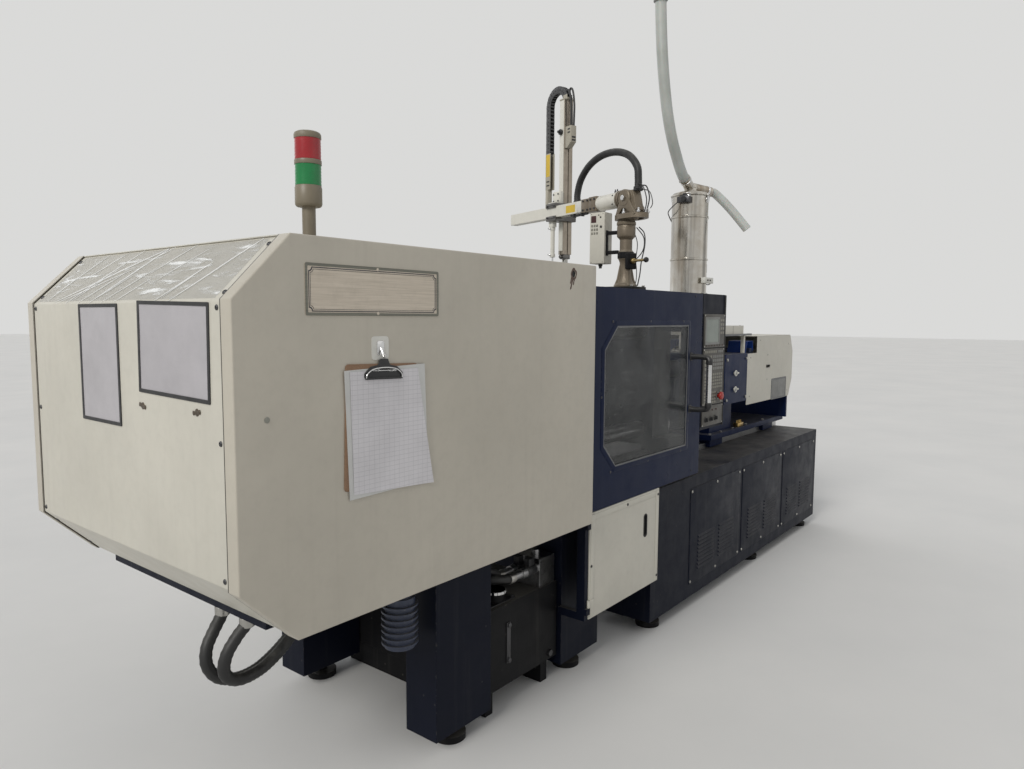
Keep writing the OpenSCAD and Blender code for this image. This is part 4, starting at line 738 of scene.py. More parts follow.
def stage():
    """Floor, backdrop and lights."""
    f = Finish("floor", Specular_IOR_Level=0.1)
    tone = f.blend(f.span(f.noise(0.8, 5, 0.6), 0.3, 0.75), (0.80, 0.79, 0.77), (0.74, 0.735, 0.72))
    mat = f.done(tone, f.span(f.noise(3, 4), 0.3, 0.7, 0.75, 0.85))
    mesh = bpy.data.meshes.new("floor")
    mesh.from_pydata([(-60, -60, -0.0005), (60, -60, -0.0005), (60, 60, -0.0005),
                      (-60, 60, -0.0005)], [], [(0, 1, 2, 3)])
    obj = bpy.data.objects.new("floor", mesh)
    mesh.materials.append(mat)
    scene.collection.objects.link(obj)

    # Diffuse rays meet a soft sky; the camera, reflections and glass see the pale backdrop
    world = bpy.data.worlds.new("world")
    scene.world = world
    world.use_nodes = True
    t = world.node_tree
    t.nodes.clear()
    kinds = ("OutputWorld", "LightPath", "Math", "Math", "Background", "Background", "MixShader")
    out, path, seen, seen2, soft, back, mix = [t.nodes.new("ShaderNode" + k) for k in kinds]
    seen.operation = seen2.operation = "MAXIMUM"
    for node, colour, strength in ((soft, (0.95, 0.97, 1.0, 1), 0.40),
                                   (back, (0.70, 0.70, 0.69, 1), 1.0)):
        node.inputs[0].default_value, node.inputs[1].default_value = colour, strength
    for a, b in ((path.outputs["Is Camera Ray"], seen.inputs[0]),
                 (path.outputs["Is Glossy Ray"], seen.inputs[1]),
                 (seen.outputs[0], seen2.inputs[0]),
                 (path.outputs["Is Transmission Ray"], seen2.inputs[1]),
                 (seen2.outputs[0], mix.inputs[0]), (soft.outputs[0], mix.inputs[1]),
                 (back.outputs[0], mix.inputs[2]), (mix.outputs[0], out.inputs[0])):
        t.links.new(a, b)

    def sun(name, towards, strength, angle, colour):
        data = bpy.data.lights.new(name, "SUN")
        data.energy = strength
        data.angle = math.radians(angle)
        data.color = colour
        lamp = bpy.data.objects.new(name, data)
        lamp.rotation_mode = "QUATERNION"
        lamp.rotation_quaternion = Vector(towards).normalized().to_track_quat("Z", "Y")
        scene.collection.objects.link(lamp)

    sun("window_light", (-0.83, -0.07, 0.56), 1.68, 24, (1.0, 0.985, 0.95))
    sun("fill_light", (0.35, -0.75, 0.56), 0.16, 60, (1.0, 0.97, 0.92))
    sun("rear_light", (0.2, 0.86, 0.47), 0.35, 60, (0.96, 0.98, 1.0))


stage()


# ---- Clamp cover ----

# The end cover's face, the feet of its two chamfers and their run; the cable hole's middle
END_FACE, TOP_FOOT, LOW_FOOT, SLOPE = -2357.2, 1451, 814, 151.2
HOLE_X, HOLE_Z = -1075, 1569
COVER = [(-2360, 810), (-2360, 1455), (-2210, 1605), (-930, 1605), (-930, 660), (-2210, 660)]


def inset(pts, d):
    """Outline moved inwards by d. Points run clockwise seen from the front."""
    out = []
    n = len(pts)
    for i in range(n):
        a, b, c = [Vector((*pts[(i + k) % n], 0)) for k in (-1, 0, 1)]
        u, v = (b - a).normalized(), (c - b).normalized()
        nu, nv = Vector((u.y, -u.x, 0)), Vector((v.y, -v.x, 0))
        k = 1 + nu.dot(nv)
        p = b + (nu + nv) * (d / k)
        out.append((p.x, p.y))
    return out


def fillet(pts, r, n=4, closed=True):
    """Outline with rounded corners."""
    out = []
    count = len(pts)
    for i in range(count):
        if not closed and i in (0, count - 1):
            out.append(tuple(pts[i]))
            continue
        a, b, c = [Vector((*pts[(i + k) % count], 0)) for k in (-1, 0, 1)]
        u, v = (a - b).normalized(), (c - b).normalized()
        half = u.angle(v) / 2
        t = r / math.tan(half)
        p, q = b + u * t, b + v * t
        for k in range(n + 1):
            s = k / n
            m = p.lerp(b, s).lerp(b.lerp(q, s), s)
            out.append((m.x, m.y))
    return out


def sheet_pan(shape, outline, y, depth, r, side, hole=None):
    """Sheet with a rounded fold all round: face at y, folded edge going back by depth."""
    bm = shape.bm
    n = len(outline)
    rings = []
    for k in range(6):
        a = math.radians(90 * k / 5)
        pts = inset(outline, r * (1 - math.sin(a)))
        rings.append([bm.verts.new((p[0], y - side * r * (1 - math.cos(a)), p[1])) for p in pts])
    # The fold is short beside the doors, which slide behind the sheet
    deep = [20.0 if p[0] > -936 else depth for p in outline]
    rings.append([bm.verts.new((p[0], y - side * d, p[1])) for p, d in zip(outline, deep)])
    back = inset(outline, 2.0)
    rings.append([bm.verts.new((p[0], y - side * d, p[1])) for p, d in zip(back, deep)])
    rings.append([bm.verts.new((p[0], y - side * 3.0, p[1])) for p in inset(outline, 3.0)])
    shape.skin(rings)
    for ring, yy in ((rings[0], y), (rings[-1], y - side * 3.0)):
        edges = [bm.edges.get((ring[i], ring[(i + 1) % n])) for i in range(n)]
        if hole:
            cx, cz, hr = hole
            loop = shape.ring(lifted(p, yy, "xz") for p in circle(cx, cz, hr))
            edges += [bm.edges.new((loop[i], loop[(i + 1) % 24])) for i in range(24)]
            if yy == y:
                front = loop
            else:
                shape.skin([front, loop])
        bmesh.ops.triangle_fill(bm, edges=edges, use_beauty=True)
    return shape


def strip(shape, line, a, b, thick):
    """Bent sheet along a line in the XZ plane from Y a to Y b, made thick to its right side."""
    bm = shape.bm
    pts = [Vector((p[0], 0, p[1])) for p in line]
    n = len(pts)
    normals = []
    for i in range(n):
        d = (pts[min(i + 1, n - 1)] - pts[max(i - 1, 0)]).normalized()
        normals.append(Vector((d.z, 0, -d.x)))
    rows = []
    for y, back in ((a, thick), (a, 0.6), (a + 0.6, 0), (b - 0.6, 0), (b, 0.6), (b, thick)):
        rows.append([bm.verts.new(p + m * back + Vector((0, y, 0))) for p, m in zip(pts, normals)])
    for q in range(len(rows)):
        u, v = rows[q], rows[(q + 1) % len(rows)]
        for i in range(n - 1):
            bm.faces.new((u[i], u[i + 1], v[i + 1], v[i]))
    for i in (0, n - 1):
        bm.faces.new([row[i] for row in rows])
    return shape


def clamp_cover():
    """Sheets of the clamp's cover, with their screws and wing studs."""
    rim = fillet(COVER, 4, 3)
    # The side sheets are in the darker cream, as painted shade of the sides
    sheet_pan(Shape(), rim, -570, 44, 3.5, -1, (HOLE_X, HOLE_Z, 12)).done(
        "side_cover_front_sheet", "shaded_cream_paint", hides="side_cover_front")
    sheet_pan(Shape(), rim, 570, 44, 3.5, 1).done(
        "side_cover_rear_sheet", "shaded_cream_paint", hides="side_cover_rear")
    bent = fillet([(END_FACE + SLOPE, TOP_FOOT + SLOPE), (END_FACE, TOP_FOOT), (END_FACE, LOW_FOOT),
                   (END_FACE + SLOPE, LOW_FOOT - SLOPE)], 9, 6, False)
    s = strip(Shape(), bent[::-1], -523.5, 523.5, 2)
    for side in (-1, 1):
        a, b = sorted((side * 493, side * 556))
        strip(s, [(p[0] + 3.2, p[1]) for p in bent[::-1]], a, b, 1.6)
    s.done("end_cover_sheet", "cream_paint", hides="end_cover")
    s = strip(Shape(), fillet([(-2211.5, 1602), (-2208.6, 1605), (-930.5, 1605), (-930.5, 1584)],
        2.5, 3, False), -523.5, 523.5, 2)
    for side in (-1, 1):
        a, b = sorted((side * 493, side * 556))
        s.box((-2190, a, 1601), (-934, b, 1602.8), 0.3, 1)
    s.done("top_cover_sheet", "cream_paint", hides="top_cover")

    # Dark disc in the round cable hole, as painted shade of the cover's inside; the residue round
    # it and the drips under it
    Shape().turned([(11.9, 0), (11.9, 10), (0, 10)], (HOLE_X, -567, HOLE_Z), "y", 24).done(
        "cable_hole_shade", "rubber")
    s = Shape()
    for x, z0, z1, w in ((-1081, 1556, 1514, 5.5), (-1071, 1554, 1530, 4.2),
            (-1088, 1560, 1534, 3.2)):
        pts = [(x - w, z0), (x - w * 0.7, (z0 + z1) / 2), (x - w * 0.8, z1 + w), (x, z1),
               (x + w * 0.8, z1 + w), (x + w * 0.55, (z0 + z1) / 2), (x + w, z0)]
        s.prism([(p[0] - (z0 - p[1]) * 0.35, p[1]) for p in pts], -570.5, -569.9)
    blob = []
    for i in range(36):
        t = 2 * math.pi * i / 36
        r = 17.5 + 3.2 * noise.noise(Vector((math.cos(t) * 1.4, math.sin(t) * 1.4, 2.3)))
        blob.append((HOLE_X + r * math.cos(t), HOLE_Z + r * 1.12 * math.sin(t)))
    ring_plate(s, blob, circle(HOLE_X, HOLE_Z, 11.8, 36), -570.45, -569.8)
    s.done("drips", "old_glue")
    # Dark joint between the end cover and the side covers' folds
    s = Shape()
    for a, b in ((-526.2, -523.2), (523.2, 526.2)):
        strip(s, [(p[0] + 0.5, p[1]) for p in bent[::-1]], a, b, 1.0)
    s.done("cover_joint", "rubber", slot="cream_paint")

    # Screws
    s = Shape()
    for side in (-1, 1):
        for z in (830, 1140, 1437):
            button_head(s, (END_FACE, side * 510.5, z), "-x", 6.5, 2.8)
        for t, foot, way, turn in ((0.13, TOP_FOOT, 1, -45), (0.87, TOP_FOOT, 1, -45),
                                   (0.2, LOW_FOOT, -1, -135), (0.8, LOW_FOOT, -1, -135)):
            button_head(s, (0, 0, 0), "z", 6.5, 3, Matrix.Translation(
                (END_FACE + SLOPE * t, side * 510.5, foot + way * SLOPE * t))
                @ Matrix.Rotation(math.radians(turn), 4, "Y"))
        for x in (-2150, -1750, -1350, -960):
            button_head(s, (x, side * 510.5, 1605), "z", 6.5, 3)
    s.done("cover_screws", "dark_steel")

    # Wing studs of the end cover
    s = Shape()
    for y, z, turn in ((-154, 1196, 12), (-414, 1201, -8)):
        m = Matrix.Translation((END_FACE, y, z)) @ Matrix.Rotation(math.radians(turn), 4, "X")
        s.turned([(9, 0), (9, 0.8), (7, 1.4), (4, 2.4), (0, 2.5)], (0, 0, 0), "-x", 20, m)
        for k in (-1, 1):
            s.prism([(k * 3, -2.5), (k * 15, -5.5), (k * 17, 0), (k * 15, 5.5), (k * 3, 2.5)][::k],
                    -2.6, -0.6, "yz", 0.5, m)
    s.done("wing_studs", "dark_bronze")
    Shape().turned([(7, 0), (7, 1.2), (4, 1.6), (4, 2.4), (0, 2.4)], (-2281, -570, 1190), "-y",
        18).done("blind_plug", "plug_grey")


def notices():
    """Two framed sleeves on the end cover, with blank sheets in them."""
    face = END_FACE
    for name, y0, y1, z0, z1, turn in (("left", -35, 201, 1133, 1449, 0.0),
                                       ("right", -477, -143, 1227, 1452, 1.2)):
        m = (Matrix.Translation((0, (y0 + y1) / 2, (z0 + z1) / 2))
             @ Matrix.Rotation(math.radians(turn), 4, "X"))
        w, h = (y1 - y0) / 2, (z1 - z0) / 2
        outer = rounded_rect(-w, w, -h, h, 3, 3)
        inner = rounded_rect(-w + 9, w - 9, -h + 9, h - 9, 1.5, 3)
        ring_plate(Shape(m), outer, inner, face - 2.5, face - 0.2, "yz").done(
            "notice_frame_" + name, "black_plastic")

        def wavy(u, v):
            y, z = -w + 8 + (2 * w - 16) * u, -h + 8 + (2 * h - 16) * v
            lift = 0.6 * noise.noise(Vector((y * 0.012, z * 0.012, 3.0)))
            return face - 0.9 + max(-0.5, min(0.5, lift)), y, z
        Shape(m).grid(wavy, 24, 24).done("notice_sheet_" + name, "sleeved_paper")


def chamfer_film():
    """Clear film over the upper slope of the end cover, with folds running across it."""
    def at(u, v):
        y = 506 - 1000 * u
        t = 0.04 + 0.92 * v
        x, z = END_FACE + SLOPE * t, TOP_FOOT + SLOPE * t
        fold = 0.0
        for a, b, width, height in ((0.05, 0.30, 0.007, 1.5), (0.12, 0.40, 0.008, 1.9),
                                    (0.15, 0.43, 0.006, 1.4), (0.34, 0.62, 0.006, 1.5),
                                    (0.50, 0.66, 0.005, 1.2), (0.60, 0.92, 0.006, 1.4),
                                    (0.72, 0.97, 0.005, 1.0)):
            d = u - (a + (b - a) * v + 0.012 * math.sin(7 * v + a * 20))
            fold += height * math.exp(-(d / width) ** 2)
        k = (0.5 + min(fold, 2.1)) / math.sqrt(2)
        return (x - k, y, z + k)
    Shape().grid(at, 330, 26).done("slope_film", "clear_film", angle=60)


def painted_fold_glints():
    """Sharp folds of the film, which run up the slope towards the operator's side, made near-white
    as painted glints of light on the folds.
    """
    foot, slope = Vector((END_FACE, 0, TOP_FOOT)), Vector((SLOPE, 0, SLOPE))
    out = Vector((-1, 0, 1)).normalized()
    s = Shape()
    rows = ((372, 0.02, -24, 0.97, 1.2), (352, 0.0, 60, 0.62, 0.8), (286, 0.0, 118, 0.98, 1.1),
        (262, 0.04, 150, 0.7, 0.7), (204, 0.0, 96, 0.55, 0.8), (128, 0.0, -26, 0.96, 1.2),
        (110, 0.1, 30, 0.5, 0.7), (60, 0.0, -70, 0.6, 0.7), (-10, 0.0, -96, 0.4, 0.6),
        (-228, 0.0, -336, 0.62, 1.0), (-250, 0.05, -300, 0.4, 0.6), (-300, 0.0, -470, 0.97, 1.1),
        (420, 0.3, 330, 0.98, 0.9), (440, 0.05, 400, 0.45, 0.7), (330, 0.45, 210, 0.98, 0.8),
        (-60, 0.5, -170, 0.98, 0.7), (-120, 0.3, -260, 0.9, 0.6), (20, 0.75, -60, 0.99, 0.7))
    for i, (y0, v0, y1, v1, r) in enumerate(rows):
        path = []
        for k in range(25):
            t = k / 24
            wave = 3.0 * noise.noise(Vector((t * 3.0, i * 7.3, 0.5)))
            path.append(foot + slope * (v0 + (v1 - v0) * t) + out * 1.2
                        + Vector((0, y0 + (y1 - y0) * t + wave, 0)))
        s.sweep(path, lambda t, r=r: 1.7 * r * (0.2 + 0.8 * math.sin(math.pi * (0.06 + 0.88 * t))),
            8)
    s.done("painted_fold_glints", "fold_glint_white")


def nameplate():
    """Bare plate with its border lines and two rivets."""
    x0, x1, z0, z1 = -2175, -1741, 1421, 1542
    outer = rounded_rect(x0, x1, z0, z1, 5, 4)
    s = Shape()
    s.prism(outer, -571.6, -570.0, "xz")
    for z in (z0 + 6, z1 - 6):
        s.turned([(4.2, 0), (4.0, 1.0), (2.6, 1.9), (0, 2.2)], ((x0 + x1) / 2, -571.5, z), "-y", 14)
    s.done("nameplate", "brushed_plate")
    ring_plate(Shape(), outer, rounded_rect(x0 + 7, x1 - 7, z0 + 7, z1 - 7, 2, 4), -572.0,
        -571.5).done("nameplate_border", "border_grey")
    s = Shape()
    for d, w, notch in ((9, 2.4, 9), (14, 1.0, 8)):
        def notched(e):
            a, b, c, f = x0 + e, x1 - e, z0 + e, z1 - e
            pts = []
            for cx, cz, sx, sz in ((b, f, -1, -1), (a, f, 1, -1), (a, c, 1, 1), (b, c, -1, 1)):
                arc = [(cx + sx * notch * math.cos(t), cz + sz * notch * math.sin(t))
                       for t in [math.radians(90 * k / 5) for k in range(6)]]
                pts += arc[::-1] if sx * sz > 0 else arc
            return pts
        ring_plate(s, notched(d), notched(d + w), -571.9, -571.4)
    s.done("nameplate_lines", "dark_steel")


def clipboard():
    """Board with its clip, blank ruled sheets and hook."""
    tilt = Matrix.Translation((-1948, 0, 1143)) @ Matrix.Rotation(math.radians(1.6), 4, "Y")
    Shape(tilt).prism(rounded_rect(-120, 120, -157, 157, 9, 4), -574, -570.2, "xz", 0.8).done(
        "clipboard_board", "board", hides="clipboard")
    s = Shape(tilt)
    s.prism(fillet([(-64, 120), (64, 120), (64, 134), (44, 150), (20, 154), (12, 170), (-12, 170),
                    (-20, 154), (-44, 150), (-64, 134)], 5, 3), -577.2, -574.1, "xz", 0.8)
    s.box((-62, -580.2, 117.6), (62, -576.4, 122.4), 1.6)
    s.done("clip_base", "black_plastic")
    s = Shape(tilt)
    arch = [(-60, -578.6, 121), (-57, -579.4, 132), (-40, -580, 143), (-16, -580.2, 147),
            (0, -580.2, 147.6), (16, -580.2, 147), (40, -580, 143), (57, -579.4, 132),
            (60, -578.6, 121)]
    s.sweep(smooth(arch, 4), 1.7, 8)
    for k in (-1, 1):
        coil = [(k * (14 + 0.9 * i), -578.4 + 2.6 * math.sin(i * 1.05),
            140 + 2.6 * math.cos(i * 1.05)) for i in range(26)]
        s.sweep(coil, 0.8, 6)
    s.sweep([(-40, -578.4, 140), (40, -578.4, 140)], 1.3, 8)
    s.done("clip_wire", "chrome")

    def page(u, v):
        x0, x1 = -2053 + 8 * (1 - v), -1824 + 56 * (1 - v)
        z0, z1 = 978 - 15 * u, 1284 - u
        x, z = x0 + (x1 - x0) * u, z0 + (z1 - z0) * v
        curl = 3.0 * max(0.0, u - 0.75) ** 2 * 16 * (1 - v) ** 2
        droop = 0.9 * math.sin(u * 5 + v * 2) * (1 - v)
        return (x, -574.7 - 0.5 * (1 + droop) - curl, z)
    Shape().grid(page, 40, 44).done("work_sheet", "ruled_paper", angle=60)

    def under(u, v):
        x = -2058 + 272 * u - 12 * v
        z = 966 + 322 * v + 6 * u
        return (x, -574.35 - 0.15 * math.sin(u * 6), z)
    Shape().grid(under, 12, 12).done("lower_sheets", "plain_paper")
    Shape().prism(rounded_rect(-1980, -1923, 1310, 1370, 9, 4), -571.0, -570.0, "xz").done(
        "hook_pad", "white_plastic")
    s = Shape()
    s.prism(rounded_rect(-1963, -1940, 1322, 1358, 5, 3), -573.2, -570.9, "xz", 0.7)
    hook = [(-1951.5, -572.6, 1340), (-1951.5, -577, 1334), (-1951.5, -581.5, 1325),
            (-1951.5, -585, 1318), (-1951.5, -588, 1319), (-1951.5, -589, 1325)]
    s.sweep(smooth(hook, 4), 3.0, 10)
    s.done("hook", "chrome")


def signal_lamp():
    """Housing, two lenses and the gland at the foot."""
    x, y = -2000, -352
    s = Shape()
    s.turned([(43, 0), (43, 3), (41, 5), (26, 9), (20, 12), (17.5, 14), (17.5, 99.5), (17.5, 101)],
             (x, y, 1605), "z", 36)
    s.turned([(24, 0), (31, 1.5), (34, 5), (35, 9), (35, 50), (33.8, 52), (33.8, 55)],
        (x, y, 1703.5), "z", 40)
    for k in range(3):
        a = math.radians(30 + 120 * k)
        button_head(s, (x + 35.5 * math.cos(a), y + 35.5 * math.sin(a), 1608.6), "z", 3.6, 2)
    s.turned([(34.6, 0), (35, 1), (35, 11), (34.6, 12)], (x, y, 1812), "z", 40)
    s.turned([(34.4, 0), (35, 1.2), (35, 10), (33, 15), (28, 18), (10, 19), (0, 19)], (x, y, 1878),
             "z", 40)
    s.done("lamp_housing", "lamp_grey", hides="lamp_body")
    for name, z, mat in (("green", 1757.8, "lens_green"), ("red", 1823.8, "lens_red")):
        s = Shape()
        prof = []
        for k in range(14):
            h = 0.4 + 53.6 * k / 13
            prof += [(33.2 + (0.7 if k % 2 else 0.0), h)]
        s.turned(prof, (x, y, z), "z", 48)
        s.done("lamp_lens_" + name, mat, angle=20, hides="lamp_lenses")
    # Cable gland beside the pole's foot
    Shape().turned([(7, 0), (7, 5), (5.5, 7), (5.5, 12), (0, 12)], (x + 30, y + 30, 1605), "z",
        14).done("lamp_gland", "black_plastic")


# ---- Doors ----

def window_line(g):
    c = 92 + g * (2 - math.sqrt(2))
    x0, x1, z0, z1 = -819 - g, -95 + g, 837 - g, 1390 + g
    return [(x0 + c, z0), (x1, z0), (x1, z1), (x0 + c, z1), (x0, z1 - c), (x0, z0 + c)][::-1]


def doors():
    """Window rims, seals, screws and plugs of both doors, and the front door's grip."""
    for side, where, body in ((-1, "front", "front_door"), (1, "rear", "rear_door")):
        f = side * 540
        # Pressed rim, a grey ring at the window's edge that paints the highlight of the clear
        # sheet's edge in place of a rubber profile, and screws round the window
        s = Shape()
        outer = fillet(window_line(19), 10, 4)
        mid = fillet(window_line(9), 7, 4)
        inner = fillet(window_line(-1), 4, 4)
        rows = [s.ring(lifted(p, f + side * out, "xz") for p in pts) for pts, out in (
            (outer, -0.2), (outer, 0.9), (mid, 3.0), (inner, 3.0), (inner, -7.0))]
        s.skin(rows)
        s.done(where + "_window_rim", "door_paint", body, "navy_paint", 50)
        # Grey ring at the window's inner edge: painted highlight of the clear sheet's edge
        ring_plate(Shape(), fillet(window_line(-1.2), 4, 4), fillet(window_line(-7), 3, 4),
            *sorted((f - side * 1.6, f + side * 1.6))).done(
            where + "_window_seal", "rim_paint", body, "black_plastic")
        # Screw heads round the window, which hold its sheet
        s = Shape()
        for x, z in ((-760, 1405), (-457, 1405), (-150, 1405), (-760, 822), (-457, 822),
                (-150, 822), (-80, 1250), (-80, 950), (-834, 1120)):
            button_head(s, (x, f + side * 0.5, z), OUTWARD[side], 5.2, 2.4)
        s.done(where + "_window_screws", "dark_steel", body)
        # Rubber seal along the closing edge, and plugs in the sheet's corners
        Shape().prism([(50.2, side * 514), (53, side * 517), (53, side * 535), (50.2, side * 538)],
            700, 1525, "xy", 0.6).done(where + "_door_seal", "rubber", body)
        s = Shape()
        for x in (-930, -30):
            for z in (712, 1520):
                s.turned([(5, 0), (5, 0.8), (3.6, 1.6), (0, 1.7)], (x, f, z), OUTWARD[side],
                         14)
        s.done(where + "_door_plugs", "rubber", body)
        if side > 0:
            continue
        # Grip: chrome bar between two curved arms, with collars
        s = Shape()
        for z, sz in ((1005, 1), (1245, -1)):
            path = smooth([(-64, 0, z), (-64, 30, z - sz * 1), (-64, 66, z + sz * 1),
                (-64, 83, z + sz * 5), (-64, 89.5, z + sz * 16), (-64, 90, z + sz * 30)], 5)
            s.sweep([(p.x, f - p.y, p.z) for p in path],
                    lambda t: 15.0 - 3.6 * math.sin(math.pi * min(1.0, t * 1.25)), 18)
            s.turned([(19, 0), (19, 3), (17, 5), (15, 5)], (-64, f, z), "-y", 24)
            s.turned([(13.4, 0), (14, 1.2), (14, 7), (13.4, 8.4), (12.2, 8.4)],
                     (-64, f - 90, z + sz * 26), "z" if sz > 0 else "-z", 24)
        s.done("front_grip_arms", "black_plastic", body, hides="front_handle")
        Shape().turned([(11.8, 0), (11.8, 176)], (-64, f - 90, 1037), "z", 28).done(
            "front_grip_bar", "chrome", body)


# ---- Operator's panel ----

PAD, STOP_X, STOP_Z = -545, 242, 1043  # face of the pads, middle of the stop


def panel_row(s, x0, x1, z, w, h, gap):
    """Row of keys between x0 and x1, left out round the stop."""
    n = int((x1 - x0 + gap) / (w + gap))
    start = (x0 + x1) / 2 - (n * w + (n - 1) * gap) / 2
    for i in range(n):
        a = start + i * (w + gap)
        if abs(a + w / 2 - STOP_X) >= 32 or abs(z - STOP_Z) >= 28:
            s.prism(rounded_rect(a, a + w, z - h / 2, z + h / 2, 1.6, 2), PAD - 1.4, PAD, "xz", 0.4)


def operators_panel():
    """Pads, screen, keys, lamps, switches and stop, and the cabinets' louvres."""
    y = PAD
    s = Shape()
    for z0, z1 in ((1280, 1440), (903, 1000)):
        s.prism(rounded_rect(66.2, 299.8, z0 + 0.2, z1 - 0.2, 5, 3), y, -540.2, "xz", 0.8)
    # The middle pad has the hole that the stop's stem sinks into
    well = circle(STOP_X, STOP_Z, 13, 32)
    plate(s, rounded_rect(66.2, 299.8, 1004.2, 1275.8, 5, 3), [well], y, -540.2)
    s.done("panel_pads", "panel_film", hides="control_panel")
    ring_plate(Shape(), rounded_rect(73, 238, 1295, 1426, 4, 3), rounded_rect(83, 228, 1305, 1416,
        2, 3), y - 2.4, y - 0.1).done("screen_bezel", "grey_plastic")
    Shape().prism(rounded_rect(82, 229, 1304, 1417, 2, 3), y - 0.9, y - 0.1, "xz").done(
        "screen", "screen_glass")
    keys = Shape()
    for z in (1410, 1390, 1370, 1350):
        panel_row(keys, 244, 294, z, 20, 12, 6)
    panel_row(keys, 74, 214, 1260, 15, 12, 5)
    for k in range(4):
        panel_row(keys, 74, 160, 1236 - 19 * k, 17, 13, 4.5)
    for k in range(9):
        panel_row(keys, 74, 286, 1150 - 15.5 * k if k < 5 else 1140 - 15.5 * k, 17, 10.5, 6.5)
    keys.done("panel_keys", "key_cream")
    s = Shape()
    for k in range(4):
        panel_row(s, 170, 290, 1236 - 19 * k, 15, 13, 6)
    panel_row(s, 222, 292, 1260, 15, 12, 5)
    s.done("panel_keys_grey", "grey_plastic")
    s = Shape()
    for i in range(7):
        s.turned([(3.2, 0), (3.2, 0.8), (2.2, 1.8), (0, 2.2)], (90 + 31 * i, y, 1290), "-y", 12)
    for i in range(4):
        s.turned([(4.5, 0), (4.5, 2.2), (3.2, 3.6), (0, 4.0)], (92 + 44 * i, y, 978), "-y", 14)
    s.done("panel_lamps", "dark_lens")
    s = Shape()
    for x, z in ((104, 936), (160, 936), (216, 936)):
        s.turned([(14, 0), (14, 1.5), (12.5, 3), (12.5, 5), (10, 5), (10, 3.4), (0, 3.4)],
            (x, y, z), "-y", 24)
        s.box((x - 2.6, y - 15, z - 9), (x + 2.6, y - 4, z + 9), 1.6)
    s.done("panel_switches", "black_plastic")
    # Collar and mushroom head of the stop
    ring_plate(Shape(), circle(STOP_X, STOP_Z, 19, 32), well, y - 1.9, y).done(
        "stop_collar", "grey_plastic")
    s = Shape()
    s.turned([(8, 1.2), (8, 7.4), (14.5, 9), (19.2, 12), (20, 16), (19.5, 20.5), (17.5, 24),
              (13, 25.6), (6, 26), (0, 25.4)], (STOP_X, y, STOP_Z), "-y", 40)
    for x, z in circle(STOP_X, STOP_Z, 19, 12):
        s.box((x - 1, y - 21, z - 1), (x + 1, y - 14, z + 1), 0.5, 1)
    s.done("stop_head", "stop_red", "stop_button", hides="emergency_stop")
    # Rubber profile down the right edge of the housing
    Shape().prism([(303, -540.1), (313.6, -540.1), (313.6, -543.4), (311, -546), (305.6, -546),
        (303, -543.4)], 892, 1533, "xy", 0.8).done("panel_edge", "rubber")
    s = Shape()
    for x in (70, 296):
        for z in (1433, 1286, 1270, 1010, 994, 909):
            s.turned([(3.6, 0), (3.4, 1.0), (0, 1.6)], (x, y, z), "-y", 12)
    for z in (900, 1210, 1520):
        for k in (-1, 1):
            s.turned([(4.5, 0), (4.3, 1.2), (0, 2)], (314, -490 + 36 * k, z), "x", 12)
    s.done("panel_screws", "zinc")
    # Louvres low on the end faces of both cabinets
    s = Shape()
    for k in range(8):
        for side, x1 in ((-1, 314), (1, 236)):
            a, b = sorted((side * 452, side * 520))
            s.prism([(x1, a), (x1 + 3, a + 3), (x1 + 3, b - 3), (x1, b)], 925 + 14 * k,
                    930 + 14 * k, "xy")
    s.done("cabinet_louvres", "door_paint")


# ---- Drop-out door ----

def chute():
    """Drop-out door with its hinges, slot and stops."""
    s = Shape()
    line = fillet([(-899, 273), (-899, 686), (-343, 686), (-343, 273)], 4, 3)
    bm = s.bm
    rings = []
    for k in range(6):
        a = math.radians(18 * k)
        rings.append([bm.verts.new((p[0], -540 + 3.2 * (1 - math.cos(a)), p[1]))
                      for p in inset(line, 3.2 * (1 - math.sin(a)))])
    rings += [s.ring(lifted(p, y, "xz") for p in pts) for pts, y in (
        (line, -515), (inset(line, 2), -515), (inset(line, 3), -537.6))]
    n = len(line)
    s.skin(rings)
    slot = [(-465 + 12 * math.cos(t), zc + 12 * math.sin(t))
            for zc, t0 in ((581, 0), (510, math.pi))
            for t in [t0 + math.pi * k / 10 for k in range(11)]]
    loops = []
    for ring, yy in ((rings[0], -540), (rings[-1], -537.6)):
        loop = [bm.verts.new((p[0], yy, p[1])) for p in slot]
        m = len(loop)
        edges = [bm.edges.get((ring[i], ring[(i + 1) % n])) for i in range(n)]
        edges += [bm.edges.new((loop[i], loop[(i + 1) % m])) for i in range(m)]
        bmesh.ops.triangle_fill(bm, edges=edges, use_beauty=True)
        loops.append(loop)
    s.skin(loops)
    for z in (310, 640):
        s.box((-906, -545, z + 12.3), (-869, -540.1, z + 40), 1.2)
        s.turned([(6, 0), (6, 27.7)], (-906, -542, z + 12.3), "z", 18)
        s.turned([(2.7, 0), (2.7, 27)], (-906, -542, z - 14), "z", 12)
    # Stiffening strips along both upright edges and the top
    for x0, x1 in ((-893, -868), (-374, -349)):
        s.prism(rounded_rect(x0, x1, 281, 678, 2, 2), -541.8, -540.0, "xz", 0.7)
    s.prism(rounded_rect(-866, -376, 655, 678, 2, 2), -541.6, -540.0, "xz", 0.7)
    s.done("drop_door_sheet", "cream_paint", "chute_door", hides="chute_door")
    s = Shape()
    ring_plate(s, [(-465 + (p[0] + 465) * 1.28, 545.5 + (p[1] - 545.5) * 1.06) for p in slot], slot,
               -541.4, -539.4)
    ring_plate(s, slot, [(-465 + (p[0] + 465) * 0.86, 545.5 + (p[1] - 545.5) * 0.97) for p in slot],
               -541.4, -530)
    s.done("drop_door_slot_lip", "rubber", "chute_door")
    s = Shape()
    for x, z in ((-888, 480), (-358, 300), (-358, 660), (-620, 666)):
        s.turned([(6, 0), (6, 1), (4, 2), (0, 2.1)], (x, -541.6, z), "-y", 14)
    s.done("drop_door_stops", "rubber", "chute_door")


